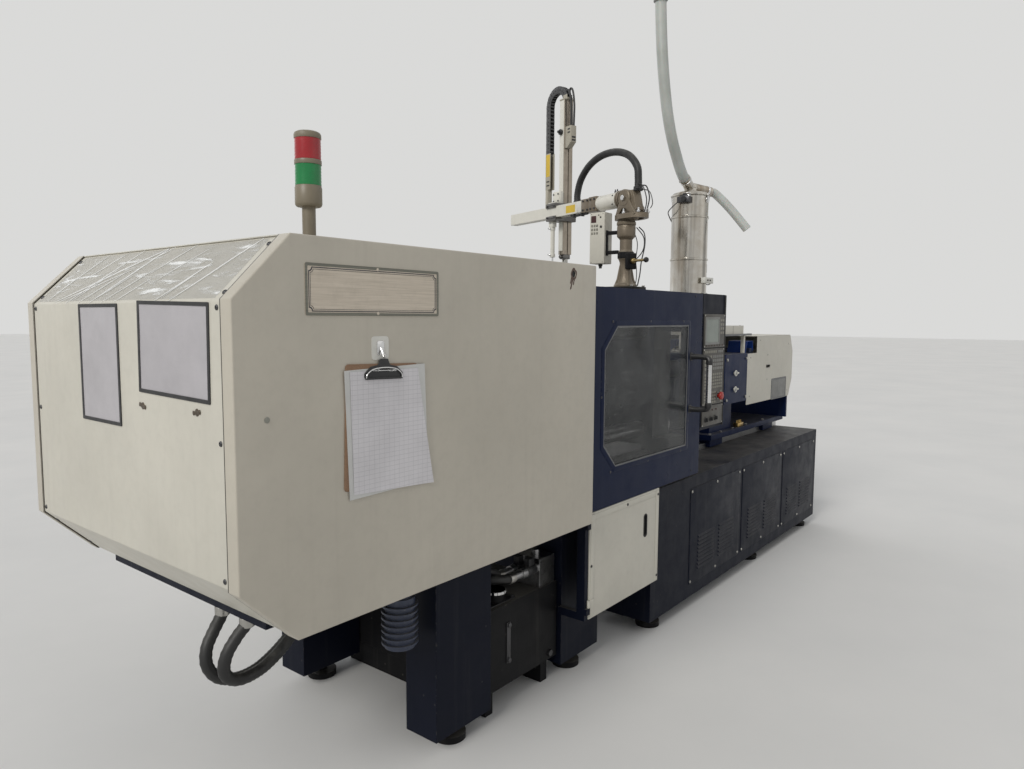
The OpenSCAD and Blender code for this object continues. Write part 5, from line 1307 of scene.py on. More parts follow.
def plate(shape, outline, holes, a, b):
    """Flat plate in the XZ plane from Y a to Y b with holes through it."""
    bm = shape.bm
    sides = []
    for y in (a, b):
        edges, loops = [], []
        for pts in [outline] + list(holes):
            loop = [bm.verts.new((p[0], y, p[1])) for p in pts]
            edges += [bm.edges.new((loop[i], loop[(i + 1) % len(loop)])) for i in range(len(loop))]
            loops.append(loop)
        bmesh.ops.triangle_fill(bm, edges=edges, use_beauty=True)
        sides.append(loops)
    for pair in zip(*sides):
        shape.skin(pair)
    return shape


def slot_line(x0, x1, z, r):
    """Outline of a long hole with round ends."""
    return [(x + r * math.cos(t), z + r * math.sin(t)) for x, a in ((x1, -90), (x0, 90))
            for t in [math.radians(a + 180 * k / 8) for k in range(9)]]


# ---- Injection unit ----

def injection_unit():
    """Sheet cover, guards, fittings and screws on the carriage."""
    # Sheet cover over the injection cylinders, cut back at its upper front corner
    side = fillet([(1210.5, 890), (1990, 890), (2049, 1008), (2049, 1200), (1990, 1309.5),
        (1368, 1309.5), (1368, 1206), (1210.5, 1206)][::-1], 5, 3)
    s = Shape()
    for k in (-1, 1):
        a, b = sorted((k * 317.6, k * 320))
        plate(s, side, [slot_line(1545, 1600, 1113, 9)], a, b)
    bent = fillet([(1368, 1311), (1990, 1311), (2050, 1201), (2050, 1008), (1990, 888),
        (1900, 888)], 14, 6, False)
    strip(s, bent, -320, 320, 2)
    s.done("injection_cover_sheet", "cream_paint", "carriage", hides="injection_cover")
    s = Shape()
    for k in (-1, 1):
        for x, z in ((1262, 1180), (1262, 940), (1560, 1188), (1560, 1028), (1420, 1285),
                (1960, 1250), (1960, 930)):
            button_head(s, (x, k * 320, z), OUTWARD[k], 5.5, 2.6)
        ring_plate(s, slot_line(1545, 1600, 1113, 12), slot_line(1545, 1600, 1113, 8.6),
                   *sorted((k * 320, k * 321.2)))
    s.done("injection_cover_screws", "zinc", "carriage")
    Shape().prism(rounded_rect(1647, 1925, 890, 1022, 6, 3), -321.4, -320.1, "xz", 0.6).done(
        "cover_plate", "grey_plastic", "carriage")
    ring_plate(Shape(), rounded_rect(1643, 1929, 886, 1026, 8, 3),
        rounded_rect(1655, 1917, 898, 1014, 4, 3), -322.4, -320).done(
        "cover_plate_rim", "rim_paint", "carriage")
    # Folded blue guards under the shelf, one at each side
    s = Shape()
    for k in (-1, 1):
        y0 = k * 296
        line = fillet([(1238, 1208), (1262, 1281), (1352, 1281), (1362, 1222)], 4, 3, False)
        a, b = sorted((y0, y0 - k * 120))
        strip(s, line, a, b, 2.4)
    s.done("throat_side_sheet", "bright_blue", "carriage")
    # Water fittings on the housing
    s = Shape()
    for k in (-1, 1):
        for z in (1098, 1003):
            s.sweep([lifted(p, k * 331, "xz") for p in circle(1008, z, 15)], 3.4, 10, closed=True)
            s.turned([(7, 0), (7, 9), (4.6, 10), (4.6, 14)], (1008, k * 319, z),
                     OUTWARD[k], 16)
            s.turned([(5, 0), (5, 8), (6.2, 9), (4.8, 14), (6.2, 15), (4.8, 20), (6, 21), (4.4, 27),
                      (0, 27)], (1021, k * 331, z), "x", 16)
            s.turned([(8.5, 0), (8.5, 5), (0, 5)], (1008, k * 328, z), OUTWARD[k], 6)
    s.done("water_fittings", "white_plastic", "carriage")
    # Bolts of the housing and of the bearing plates
    s = Shape()
    for k in (-1, 1):
        ax = OUTWARD[k]
        for x, z in ((892, 945), (892, 1180), (1186, 945), (1186, 1180)):
            s.hexagon(16, 8, (x, k * 320, z), ax)
        for x in (846, 1000, 1180, 1400, 1700, 2010):
            s.hexagon(13, 7, (x, k * 250, 742), "z")
    for y, z in ((-270, 960), (270, 960), (-270, 1170), (270, 1170)):
        s.hexagon(18, 9, (870, y, z), "-x")
    s.done("housing_bolts", "zinc", "carriage")
    # Screws of the shelf and of the flat box over the throat
    s = Shape()
    for x in (862, 1275):
        for y in (-295, 295):
            button_head(s, (x, y, 1326), "z", 6, 3)
    for x in (880, 1160):
        for y in (-285, 105):
            button_head(s, (x, y, 1377), "z", 5, 2.6)
    s.done("shelf_screws", "zinc", "carriage")
    s = Shape()
    s.box((852, -312, 1317), (1288, -308.5, 1329), 0.8)
    s.box((1018, -300.8, 1328), (1020, -300, 1376), 0.3, 1)
    s.done("shelf_edge", "rim_paint", "carriage")
    # Grease nipples and distributor on the slab
    s = Shape()
    s.box((1240, -262, 743), (1330, -232, 768), 2)
    for i in range(4):
        s.turned([(5, 0), (5, 5), (3, 6), (3, 10), (4.4, 12), (2.5, 16), (0, 16)],
                 (1252 + 22 * i, -247, 767.6), "z", 12)
    s.done("grease_block", "brass", "carriage")


BARREL_Z = 1120


def barrel_parts():
    """Joints of the heater bands with their clamps, the thermocouples and the nozzle's hexagon."""
    s = Shape()
    for i in range(4):
        x = 190 + 105 * i
        for e in (6, 74):
            s.turned([(64.6, 0), (65.4, 0.6), (65.4, 4.4), (64.6, 5)], (x + e, 0, BARREL_Z), "x",
                48)
        s.box((x + 30, -12, BARREL_Z + 94), (x + 55, 12, BARREL_Z + 97), 0.8)
        for k in (-1, 1):
            s.turned([(4.5, 0), (4.5, 6), (0, 6)], (x + 42, k * 20, BARREL_Z + 78), OUTWARD[k], 10)
    s.done("band_clamps", "zinc", "carriage")
    s = Shape()
    for i in range(4):
        x = 190 + 105 * i
        s.turned([(4, 0), (4, 34), (2.5, 36), (2.5, 60)], (x + 66, 0, BARREL_Z + 50), "z", 10)
    s.done("thermocouples", "chrome", "carriage")
    Shape().hexagon(40, 22, (112, 0, BARREL_Z), "x").done(
        "nozzle_hexagon", "dark_steel", "carriage")


# ---- Hopper and loader ----

def hopper_and_loader():
    """Loader with lid, latches, hoses' clips, valve and switches; hopper."""
    x, y = 1030, 0
    s = Shape()
    prof = [(108.5, 1570.2)]
    for z in (1768, 2020):
        prof += [(108.5, z - 1), (111, z - 0.5), (113.4, z + 1.5), (113.4, z + 10.5),
            (111, z + 12.5), (108.5, z + 13)]
    prof += [(108.5, 2148), (112, 2150), (116.5, 2152.5), (116.5, 2158), (114, 2160), (98, 2160.5),
             (98, 2158), (106, 2158), (106.3, 1575), (100, 1572), (100, 1560.2), (118, 1560.2),
             (120.4, 1562), (120.4, 1568), (118, 1570), (108.5, 1570.2)]
    rings = [s.ring(lifted(p, h, "xy") for p in circle(x, y, r, 72)) for r, h in prof[:-1]]
    s.skin(rings + rings[:1])
    # Welded seam down the shell
    s.box((x + 106, y + 28, 1572), (x + 108.2, y + 31, 2148), 0.6)
    s.done("loader_shell", "stainless", "carriage", hides="loader")
    # Over-centre latches, three at the lid and two at the foot: base, lever, wire bow and hook
    s = Shape()
    for zc, angles in ((2156, (-90, 90, 200)), (1566, (-90, 90))):
        for a in angles:
            m = Matrix.Translation((x, y, zc)) @ Matrix.Rotation(math.radians(a), 4, "Z")
            s.box((107, -12, -46), (111, 12, -18), 1, 2, m)
            s.prism([(111, -44), (117, -44), (119, -24), (116, -6), (112.5, -8), (114, -24)], -9, 9,
                    "xz", 0.8, m)
            s.turned([(2.6, -12), (2.6, 12)], (114, 0, -40), "y", 10, m)
            s.sweep([(114, -13, -40), (118, -13, -10), (119.5, -11, 6), (119.5, 11, 6),
                (118, 13, -10), (114, 13, -40)], 1.6, 8, m)
            s.prism([(112, 2), (118, 2), (121.5, 8), (118, 8), (116, 5), (112, 6)], -8, 8, "xz",
                0.6, m)
    s.done("loader_latches", "chrome", "carriage", "stainless")
    # Lid with its hub, elbow and outlet
    s = Shape()
    s.turned([(104.5, 0.6), (104.5, 8), (101, 12), (86, 14), (84, 17.6), (60, 18), (56, 14),
        (44, 14), (38, 17), (38, 44), (41, 45), (41, 58), (38, 60), (0, 60)], (x, y, 2160), "z", 56)
    elbow = smooth([(1030, 0, 2196), (1012, 0, 2208), (990, 0, 2224), (962, 0, 2240.5),
        (941.5, 0, 2251.2)], 5)
    s.sweep(elbow, lambda t: 31.5 if t < 0.82 else 33.6, 28)
    d = Vector((0.858, -0.495, -0.139)).normalized()
    base = Vector((1030, 0, 2212))
    out = [base + d * k for k in (0, 40, 70, 110, 146)]
    s.sweep(out, lambda t: 28.6 if t < 0.72 else 29.9, 28)
    s.done("loader_lid", "stainless", "carriage", hides="loader_fittings")
    s = Shape()
    for pts, r in (((962, 0, 2240.5), 36), ((base + d * 120), 32.5)):
        c = Vector(pts)
        axis = (Vector((941.5, 0, 2251.2)) - Vector((990, 0, 2224))).normalized() if r == 36 else d
        q = Vector((0, 0, 1)).rotation_difference(axis).to_matrix().to_4x4()
        m = Matrix.Translation(c) @ q
        s.turned([(r - 1.6, -6), (r - 0.4, -5.4), (r - 0.4, 5.4), (r - 1.6, 6)], (0, 0, 0), "z", 36,
            m)
        s.box((-5, r - 2, -7), (5, r + 7, 7), 1, 2, m)
        s.turned([(2.6, -10), (2.6, 11), (4, 11), (4, 14), (0, 14)], (0, r + 3.5, 0), "x", 8, m)
    s.done("hose_clips", "chrome", "carriage", "stainless")
    # Air valve with its knobs, the switch box and the level switch
    s = Shape()
    s.box((884, -58, 2102.5), (938, 18, 2138), 2.5)
    s.box((896, -44, 2137), (930, 4, 2146), 2)
    s.done("loader_valve", "dark_steel", "carriage")
    s = Shape()
    s.turned([(15, 0), (16.5, 2), (16.5, 9), (14.5, 11), (0, 11)], (884, -28, 2122), "-x", 28)
    for b, c in circle(-28, 2122, 16.2, 14):
        s.box((873.2, b - 0.9, c - 0.9), (881, b + 0.9, c + 0.9), 0.3, 1)
    s.turned([(12, 0), (13, 2), (13, 8), (10, 12), (0, 12)], (911, -20, 2146), "z", 24)
    s.done("loader_knobs", "black_plastic", "carriage")
    s = Shape()
    s.box((971, -137.6, 1630.5), (1089, -110, 1664.5), 2.5)
    s.box((975, -138, 1634), (1085, -136.4, 1661), 1.5)
    s.done("loader_switch_box", "white_plastic", "carriage")
    s = Shape()
    for k in range(2):
        s.turned([(4.5, 0), (4.5, 6), (3, 8), (0, 8)], (1002 + 34 * k, -137, 1648), "-y", 12)
    s.done("loader_toggles", "black_plastic", "carriage")
    s = Shape()
    s.box((1139, -52, 1702), (1186, 22, 1758), 3)
    s.turned([(26, 0), (26, 3), (20, 4), (20, 12), (0, 12)], (1138, -15, 1730), "-x", 24)
    s.turned([(18, 0), (18, 14), (15, 16), (15, 27), (0, 27)], (1186, -15, 1730), "x", 24)
    s.done("level_switch", "black_plastic", "carriage")
    s = Shape()
    s.hexagon(24, 12, (1160, -15, 1757), "z")
    s.box((1192, -8, 1704), (1212, 12, 1726), 2)
    s.done("level_switch_nut", "zinc", "carriage")
    lead("switch_lead", "carriage", [(1199, 2, 1704.5), (1204, 0, 1672), (1194, -34, 1640),
        (1160, -72, 1628), (1118, -108, 1636), (1088, -122, 1646)], 3.2)
    lead("valve_lead", "carriage", [(905, 18, 2112), (892, 42, 2088), (912, 84, 2060),
                                     (960, 104, 2040), (1030, 112, 2000), (1100, 96, 1930),
                                     (1134, 58, 1850), (1140, 24, 1790), (1150, 6, 1758)], 3.0)
    # Hopper: flange bolts and the slide gate's handle
    s = Shape()
    for k in range(8):
        a = math.radians(22.5 + 45 * k)
        s.hexagon(13, 7, (1030 + 74 * math.cos(a), 74 * math.sin(a), 1227), "z")
    for k in range(6):
        a = math.radians(15 + 60 * k)
        s.hexagon(10, 5, (1030 + 114 * math.cos(a), 114 * math.sin(a), 1560 + 10.2), "z")
    s.done("hopper_bolts", "zinc", "carriage")
    s = Shape()
    s.box((1022, -112, 1240), (1038, -44, 1246), 1)
    s.turned([(9, -9), (11, -6), (11, 6), (9, 9)], (1030, -112, 1243), "x", 20)
    s.done("hopper_gate", "zinc", "carriage")


def lead(name, body, points, r, move=Matrix()):
    """Thin fixed lead along a route."""
    route = smooth([move @ Vector(p) for p in points], 6)
    Shape().sweep(route, r, 8).done(name, "black_plastic", body)


# ---- Sprue picker ----

def profile_bar(s, lo, hi, grooves, depth=3.0, width=7.0, axis=0, move=None):
    """Square bar along an axis with a groove down the middle of the named sides."""
    o = [i for i in range(3) if i != axis]
    (x0, x1), (z0, z1) = (lo[o[0]], hi[o[0]]), (lo[o[1]], hi[o[1]])
    h = width / 2
    pts = []
    c = 1.6
    sides = ((x0, z0, 1, 0, "low"), (x1, z0, 0, 1, "right"), (x1, z1, -1, 0, "high"),
             (x0, z1, 0, -1, "left"))
    for px, pz, dx, dz, name in sides:
        ln = (x1 - x0) if dx else (z1 - z0)
        nx, nz = -dz, dx
        pts.append((px + dx * c, pz + dz * c))
        if name in grooves:
            for t, e in ((ln / 2 - h, 0), (ln / 2 - h, depth * 0.4), (ln / 2 - h - 2, depth * 0.4),
                    (ln / 2 - h - 2, depth), (ln / 2 + h + 2, depth), (ln / 2 + h + 2, depth * 0.4),
                    (ln / 2 + h, depth * 0.4), (ln / 2 + h, 0)):
                pts.append((px + dx * t + nx * e, pz + dz * t + nz * e))
        pts.append((px + dx * (ln - c), pz + dz * (ln - c)))
    plane = {0: "yz", 1: "xz", 2: "xy"}[axis]
    s.prism(pts, lo[axis], hi[axis], plane, 0, move)


def picker_stand():
    """Pedestal, neck and clamp with its lever."""
    s = Shape()
    s.box((15, -185, 1440.2), (160, 80, 1462), 3)
    ped = rounded_rect(30, 130, -165, 60, 16, 5)
    s.prism(ped, 1461, 1560, "xy", 2)
    s.box((8, -185, 1559), (155, 88, 1576), 3)
    # Ribs of the pedestal
    for y in (-120, -52, 16):
        s.box((26, y - 5, 1462), (134, y + 5, 1558), 2)
    s.done("picker_pedestal", "black_paint", hides="picker_base")
    s = Shape()
    for x in (26, 148):
        for y in (-172, 66):
            s.hexagon(19, 11, (x, y, 1462), "z")
            s.hexagon(14, 8, (x, y, 1576), "z")
    s.done("picker_stand_bolts", "zinc")
    # Cast neck that carries the swivel: foot, waist and collar
    s = Shape()
    s.turned([(58, 0), (58, 9), (55, 12), (42, 18), (34, 34), (29, 60), (28, 96), (30, 120),
        (34, 132), (38, 138), (38, 172), (34, 178), (31, 182), (31, 232), (35, 238), (44, 246),
        (46, 252), (46, 296), (44, 303.7), (20, 303.7)], (NECK_X, NECK_Y, 1576), "z", 40)
    for k in range(4):
        a = 45 + 90 * k
        s.prism([(28, 0), (56, 10), (44, 40), (34, 92), (28, 120)], -5, 5, "xz", 1.5,
            Matrix.Translation((NECK_X, NECK_Y, 1576)) @ Matrix.Rotation(math.radians(a), 4, "Z"))
    s.done("picker_neck", "cast_bronze")
    s = Shape(PICKER)
    s.box((-47, -30, 1662), (-27, 30, 1742), 4, 3)
    s.turned([(40, 0), (41.5, 2), (41.5, 30), (40, 32), (30, 32)], (0, 0, 1716), "z", 32)
    s.box((-44, -9, 1716), (-36, 9, 1748), 2, 2)
    s.done("picker_clamp", "black_paint")
    Shape(PICKER).turned([(13, 0), (14, 2), (14, 12), (12, 16), (8, 18), (8, 30), (6.5, 33),
        (6.5, 92), (0, 92)], (-47, 0, 1702), "-x", 24).done("clamp_lever", "brass_dull")
    Shape(PICKER).turned([(7, 0), (11, 2), (13, 6), (13, 12), (11, 17), (6, 19.8), (0, 20)],
        (-138, 0, 1702), "-x", 24).done("clamp_lever_knob", "black_plastic")


def hand_set():
    """Hand set with its display, keys and stay."""
    Shape().box((50, 2, 1696), (125, 90, 1955), 3.5, 3).done(
        "hand_set_case", "cream_paint", slot="black_paint")
    Shape().prism(rounded_rect(52, 82, 1904, 1938, 2, 3), 48.6, 50.2, "yz", 0.5).done(
        "hand_set_display", "dark_lens")
    s = Shape()
    for y, z, r in ((26, 1930, 4.5), (23, 1882, 6.5), (37, 1941, 3), (48, 1886, 2.5)):
        s.turned([(r, 0), (r, 1.5), (r * 0.8, 3), (0, 3.2)], (50, y, z), "-x", 16)
    s.box((49.2, 55, 1916), (50.1, 66, 1927), 0.3, 1)
    s.done("hand_set_knobs", "black_plastic")
    s = Shape()
    for r in range(3):
        for c in range(3):
            y, z = 76 - 15 * c, 1888 - 19 * r
            s.prism(rounded_rect(y - 5, y + 5, z - 6, z + 6, 1.5, 2), 49.0, 50.1, "yz", 0.3)
    for y, z in ((12, 1704), (80, 1704), (12, 1947), (80, 1947)):
        s.turned([(2.6, 0), (2.4, 0.8), (0, 1)], (50, y, z), "-x", 10)
    s.done("hand_set_keys", "key_cream")
    s = Shape()
    s.box((66, -66, 1742), (84, 3, 1760), 2)
    s.box((66, -66, 1840), (84, 3, 1858), 2)
    s.box((64, -1, 1736), (86, 3.4, 1864), 1.5)
    s.done("hand_set_stay", "black_paint")
    s = Shape()
    for z in (1750, 1790, 1830):
        s.hexagon(8, 4, (75, -1, z), "-y")
    s.turned([(11, 0), (11, 10), (8, 12), (8, 22), (0, 22)], (87, 46, 1696), "-z", 18)
    s.done("hand_set_gland", "black_plastic")


BEAM_Z = 2012


def picker_top():
    """Head with its casting, turning drive, beam and glands."""
    z = BEAM_Z
    # Swivel hub and the casting over it, with a round boss and spread legs
    s = Shape(PICKER)
    s.turned([(20, 0.3), (47, 0.5), (48, 3), (48, 14), (45, 18), (40, 24), (38, 40)], (0, 0, 1880),
        "z", 40)
    s.prism(fillet([(-60, 1904), (44, 1904), (40, 1940), (22, 1990), (30, 2046), (-70, 2046),
        (-84, 2000), (-96, 1950)][::-1], 12, 4), -26, 26, "xz", 3)
    s.turned([(38, -44), (42, -40), (42, 40), (38, 44), (20, 44), (18, 40), (0, 40)],
        (-22, 0, 2010), "y", 36)
    for k in (-1, 1):
        a, b = sorted((k * 26, k * 42))
        leg = fillet([(-44, 2030), (2, 2030), (16, 1980), (40, 1926), (28, 1916), (-10, 1958),
                      (-34, 1958), (-92, 1916), (-108, 1926), (-70, 1980)], 6, 3)
        s.prism(leg, a, b, "xz", 2)
    s.done("head_casting", "cast_bronze", "picker_head", hides="picker_head")
    ring_plate(Shape(PICKER), ellipse(-30, -6, 104, 62, 48), ellipse(-30, -6, 82, 42, 48), 1908,
        1932, "xy").done("stop_ring", "cast_bronze", "picker_head")
    s = Shape(PICKER)
    for a, y in ((-124, -6), (-114, 26), (-114, -38), (62, -6), (-30, -58), (-30, 46)):
        s.hexagon(15, 10, (a, y, 1932), "z")
        s.turned([(5, 0), (5, 22), (0, 22)], (a, y, 1932), "z", 12)
    for a, y in ((-22, -44), (-22, 44)):
        s.hexagon(24, 9, (a, y, 2010), "y" if y > 0 else "-y")
    s.done("stop_bolts", "chrome", "picker_head")
    # Turning drive: stacked rings and a pale drum
    Shape(PICKER).turned([(30, 0), (46, 1), (46, 9), (41, 11), (41, 15), (46, 17), (46, 24),
        (43, 26)], (20, 0, z), "x", 44).done("drive_rings", "cast_bronze", "picker_head")
    Shape(PICKER).turned([(41, 0), (45.5, 1.5), (45.5, 8), (40, 10), (38, 12), (38, 14), (39.6, 16),
        (39.6, 150), (37, 156), (30, 157)], (46, 0, z), "x", 44).done(
        "drive_drum", "pale_alloy", "picker_head")
    s = Shape(PICKER)
    for k in range(6):
        a = math.radians(30 + 60 * k)
        s.turned([(3.4, 0), (3.4, 3), (0, 3)], (66, 33 * math.cos(a) * 1.32,
            z + 33 * math.sin(a) * 1.32), "x", 10)
    for x in (72, 88):
        s.turned([(5, 0), (5, 10), (3, 12), (3, 18), (0, 18)], (x, 0, z + 39), "z", 12)
    s.done("drive_fittings", "dark_steel", "picker_head")
    # Block between the drum and the beam
    s = Shape(PICKER)
    s.box((200, -34, z - 38), (262, 34, z + 38), 4, 3)
    s.box((256, -30, z - 35), (330, 30, z + 35), 3, 2)
    s.done("beam_block", "cast_bronze", "picker_head")
    s = Shape(PICKER)
    for a in (214, 246, 276, 312):
        for k in (-1, 1):
            s.turned([(5.5, 0), (5.5, 4), (3, 4), (3, 1.5), (0, 1.5)], (a, 31 if a > 260 else 34,
                     z + 24 * k), "y", 14)
    s.done("beam_block_screws", "dark_steel", "picker_head")
    # Beam
    s = Shape(PICKER)
    profile_bar(s, (300, -25, z - 31), (1021, 25, z + 31), ("low", "high"), 4, 8, 0)
    s.done("beam", "pale_alloy", "picker_head")
    s = Shape(PICKER)
    s.box((1020.5, -25, z - 31), (1029, 25, z + 31), 2, 2)
    s.box((330, 24.6, z - 28), (372, 27, z + 28), 1.2, 2)
    s.done("beam_ends", "white_plastic", "picker_head", "arm_alloy")
    Shape(PICKER).box((388, 24.9, z - 22), (470, 25.4, z + 18), 0.2, 1).done(
        "beam_band", "yellow_film", "picker_head")
    s = Shape(PICKER)
    s.sweep(smooth([(300, 6, 1974), (360, 8, 1972), (410, 8, 1971), (440, 4, 1974), (450, 0, 1981)],
        5), 6.5, 10)
    for a in (340, 410):
        s.box((a, -4, 1963), (a + 9, 18, 1982), 1.5, 1)
    s.done("beam_lead", "black_plastic", "picker_head")
    s = Shape(PICKER)
    for a, y in ((-96, 18), (-70, -30)):
        s.turned([(9, 0), (9, 12), (6, 14), (6, 26), (0, 26)], (a, y, 2046), "z", 16)
    s.turned([(24, 0), (24, 6), (21, 8), (21, 20), (18, 21)], (-78, 0, 2040), "z", 24)
    s.turned([(22, 0), (22, 6), (20, 8), (20, 14), (18, 15)], (399, 0, 2043), "z", 24)
    s.done("hose_glands", "black_plastic", "picker_head")
    for i, pts in enumerate(([(-70, -30, 2070), (-92, -44, 2064), (-112, -46, 2010),
            (-96, -50, 1960), (-78, -58, 1936)], [(-96, 18, 2070), (-128, 14, 2056),
            (-150, 8, 1990), (-138, 6, 1940), (-124, 4, 1934)], [(-96, -8, 2046), (-140, -20, 2030),
            (-158, -24, 1976), (-146, -22, 1950)])):
        lead("head_lead_%d" % i, "picker_head", pts, 3.2 - 0.5 * i, PICKER)


def neck_leads():
    """Leads that leave the head and come down beside the neck."""
    for i, pts in enumerate(([(-40, -48, 1872), (-66, -60, 1840), (-74, -58, 1780),
            (-60, -50, 1700), (-58, -44, 1640), (-50, -36, 1580)],
            [(-20, -50, 1872), (-50, -72, 1822), (-44, -76, 1762), (-10, -66, 1720),
            (20, -52, 1700), (36, -44, 1680)], [(10, -50, 1870), (-6, -70, 1800), (6, -74, 1716),
            (-14, -62, 1650), (-20, -52, 1600), (-10, -44, 1578)])):
        lead("neck_lead_%d" % i, "machine", pts, 3.0 - 0.4 * i, PICKER)


def picker_slide():
    """Carriage on the beam, with its kick cylinder and the chain's bracket."""
    z = BEAM_Z
    s = Shape(PICKER)
    s.box((558.5, -115.5, z - 49), (647.5, -103, z + 49), 2, 2)
    s.box((558.5, -41.5, z - 49), (647.5, -26, z + 49), 2, 2)
    for a in (558.5, 626.5):
        s.box((a, -106, z - 49), (a + 21, -40, z + 49), 1.5, 2)
    s.box((558.5, -30, z + 31.4), (647.5, 33, z + 49), 2, 2)
    s.box((558.5, -30, z - 49), (647.5, 33, z - 31.4), 2, 2)
    for k in (-1, 1):
        a, b = sorted((z + k * 22.5, z + k * 40))
        s.box((558.5, 25.4, a), (647.5, 33, b), 1.2, 2)
    s.done("slide_block", "dark_alloy", "picker_carriage", hides="picker_carriage")
    s = Shape(PICKER)
    s.box((575, -38, z + 48), (648, -14, z + 119), 3, 2)
    s.box((582, -15, z + 60), (640, -11, z + 112), 1.5, 2)
    s.box((566, -8, z + 48.5), (640, 22, z + 56), 1.5, 2)
    s.done("buffer_block", "pale_alloy", "picker_carriage")
    s = Shape(PICKER)
    for a in (590, 632):
        for h in (66, 104):
            s.turned([(4.5, 0), (4.5, 4), (2.4, 4), (2.4, 1.5), (0, 1.5)], (a, -11, z + h), "y", 14)
    for a in (570, 636):
        for k in (-1, 1):
            s.turned([(4.5, 0), (4.5, 4), (2.4, 4), (2.4, 1.5), (0, 1.5)], (a, 33, z + k * 31), "y",
                14)
    s.done("slide_screws", "dark_steel", "picker_carriage")
    # Kick cylinder under the beam, with its bracket and rod end
    s = Shape(PICKER)
    s.box((604, -12, 1932), (646, 14, 1963.5), 2, 2)
    s.turned([(15, 0), (15, 16), (12, 17), (12, 150), (15, 151), (15, 168), (9, 170), (0, 170)],
             (625, 0, 1932), "-z", 28)
    s.done("kick_cylinder", "pale_alloy", "picker_carriage")
    s = Shape(PICKER)
    s.turned([(5, 0), (5, 26), (9, 27), (9, 36), (7, 40), (0, 40)], (625, 0, 1762), "-z", 18)
    for h in (1922, 1776):
        s.turned([(5.5, 0), (5.5, 10), (3.6, 12), (3.6, 20), (0, 20)], (625, 13, h), "y", 12)
    s.done("kick_rod", "chrome", "picker_carriage")
    # Bracket of the cable chain
    s = Shape(PICKER)
    s.box((646, -88, z + 20.2), (778, -56, z + 31.8), 1.5, 2)
    s.box((756, -88, z + 21), (778, -56, 2167), 1.5, 2)
    s.box((732, -88, 2165), (778, -84.5, 2372), 1, 2)
    s.box((732, -59.5, 2165), (778, -56, 2372), 1, 2)
    s.box((774.5, -88, 2165), (778, -56, 2372), 1, 2)
    s.done("chain_bracket", "bracket_cream", "picker_carriage")
    Shape(PICKER).box((736, -56.4, 2240), (774, -55.6, 2366), 0.2, 1).done(
        "bracket_band", "yellow_film", "picker_carriage")
    s = Shape(PICKER)
    for h in (2186, 2208):
        s.box((740, -56.3, h), (768, -54.8, h + 7), 0.5, 1)
    s.done("bracket_slots", "rubber", "picker_carriage")


def chain_links():
    """Links of the cable chain round its bend, and the leads in it."""
    ca, cz, r = 675, 2630, 82
    path = []
    total = 258 + math.pi * r - 26
    n = 23
    for i in range(n):
        d = (i + 0.5) * total / n
        if d < 258:
            path.append((757, 2372 + d, math.pi / 2))
        else:
            t = (d - 258) / r
            path.append((ca + r * math.cos(t), cz + r * math.sin(t), t + math.pi / 2))
    s, inner = Shape(), Shape()
    w = total / n
    for i, (a, z, t) in enumerate(path):
        m = PICKER @ Matrix.Translation((a, -72, z)) @ Matrix.Rotation(-t, 4, "Y")
        k = 1.0 if i % 2 else 0.0
        for y in (-15.5, 12.2):
            s.prism(fillet([(-w * 0.62, -20), (w * 0.5, -20), (w * 0.62, -8), (w * 0.62, 8),
                (w * 0.5, 20), (-w * 0.62, 20)], 3, 2), y + k * 0.5, y + 3.3 - k * 0.5, "xz", 0.6,
                m)
        s.box((-4, -15, 16.5), (4, 15, 20), 0.8, 1, m)
        s.box((-4, -15, -20), (4, 15, -16.5), 0.8, 1, m)
        for side in (-1, 1):
            inner.turned([(4.2, 0), (4.2, 1), (0, 1.2)], (0, side * 15.4, 0), OUTWARD[side], 10, m)
    for k, (y, rr) in enumerate(((-7, 6.5), (7, 6.0), (0, 4.5))):
        inner.sweep([PICKER @ Vector((a + (k - 1) * 3 * math.sin(t), -72 + y, z))
                     for a, z, t in path], rr, 8)
    s.done("chain_side_links", "chain_grey", "picker_carriage", hides="cable_chain")
    inner.done("chain_pins", "black_plastic", "picker_carriage")


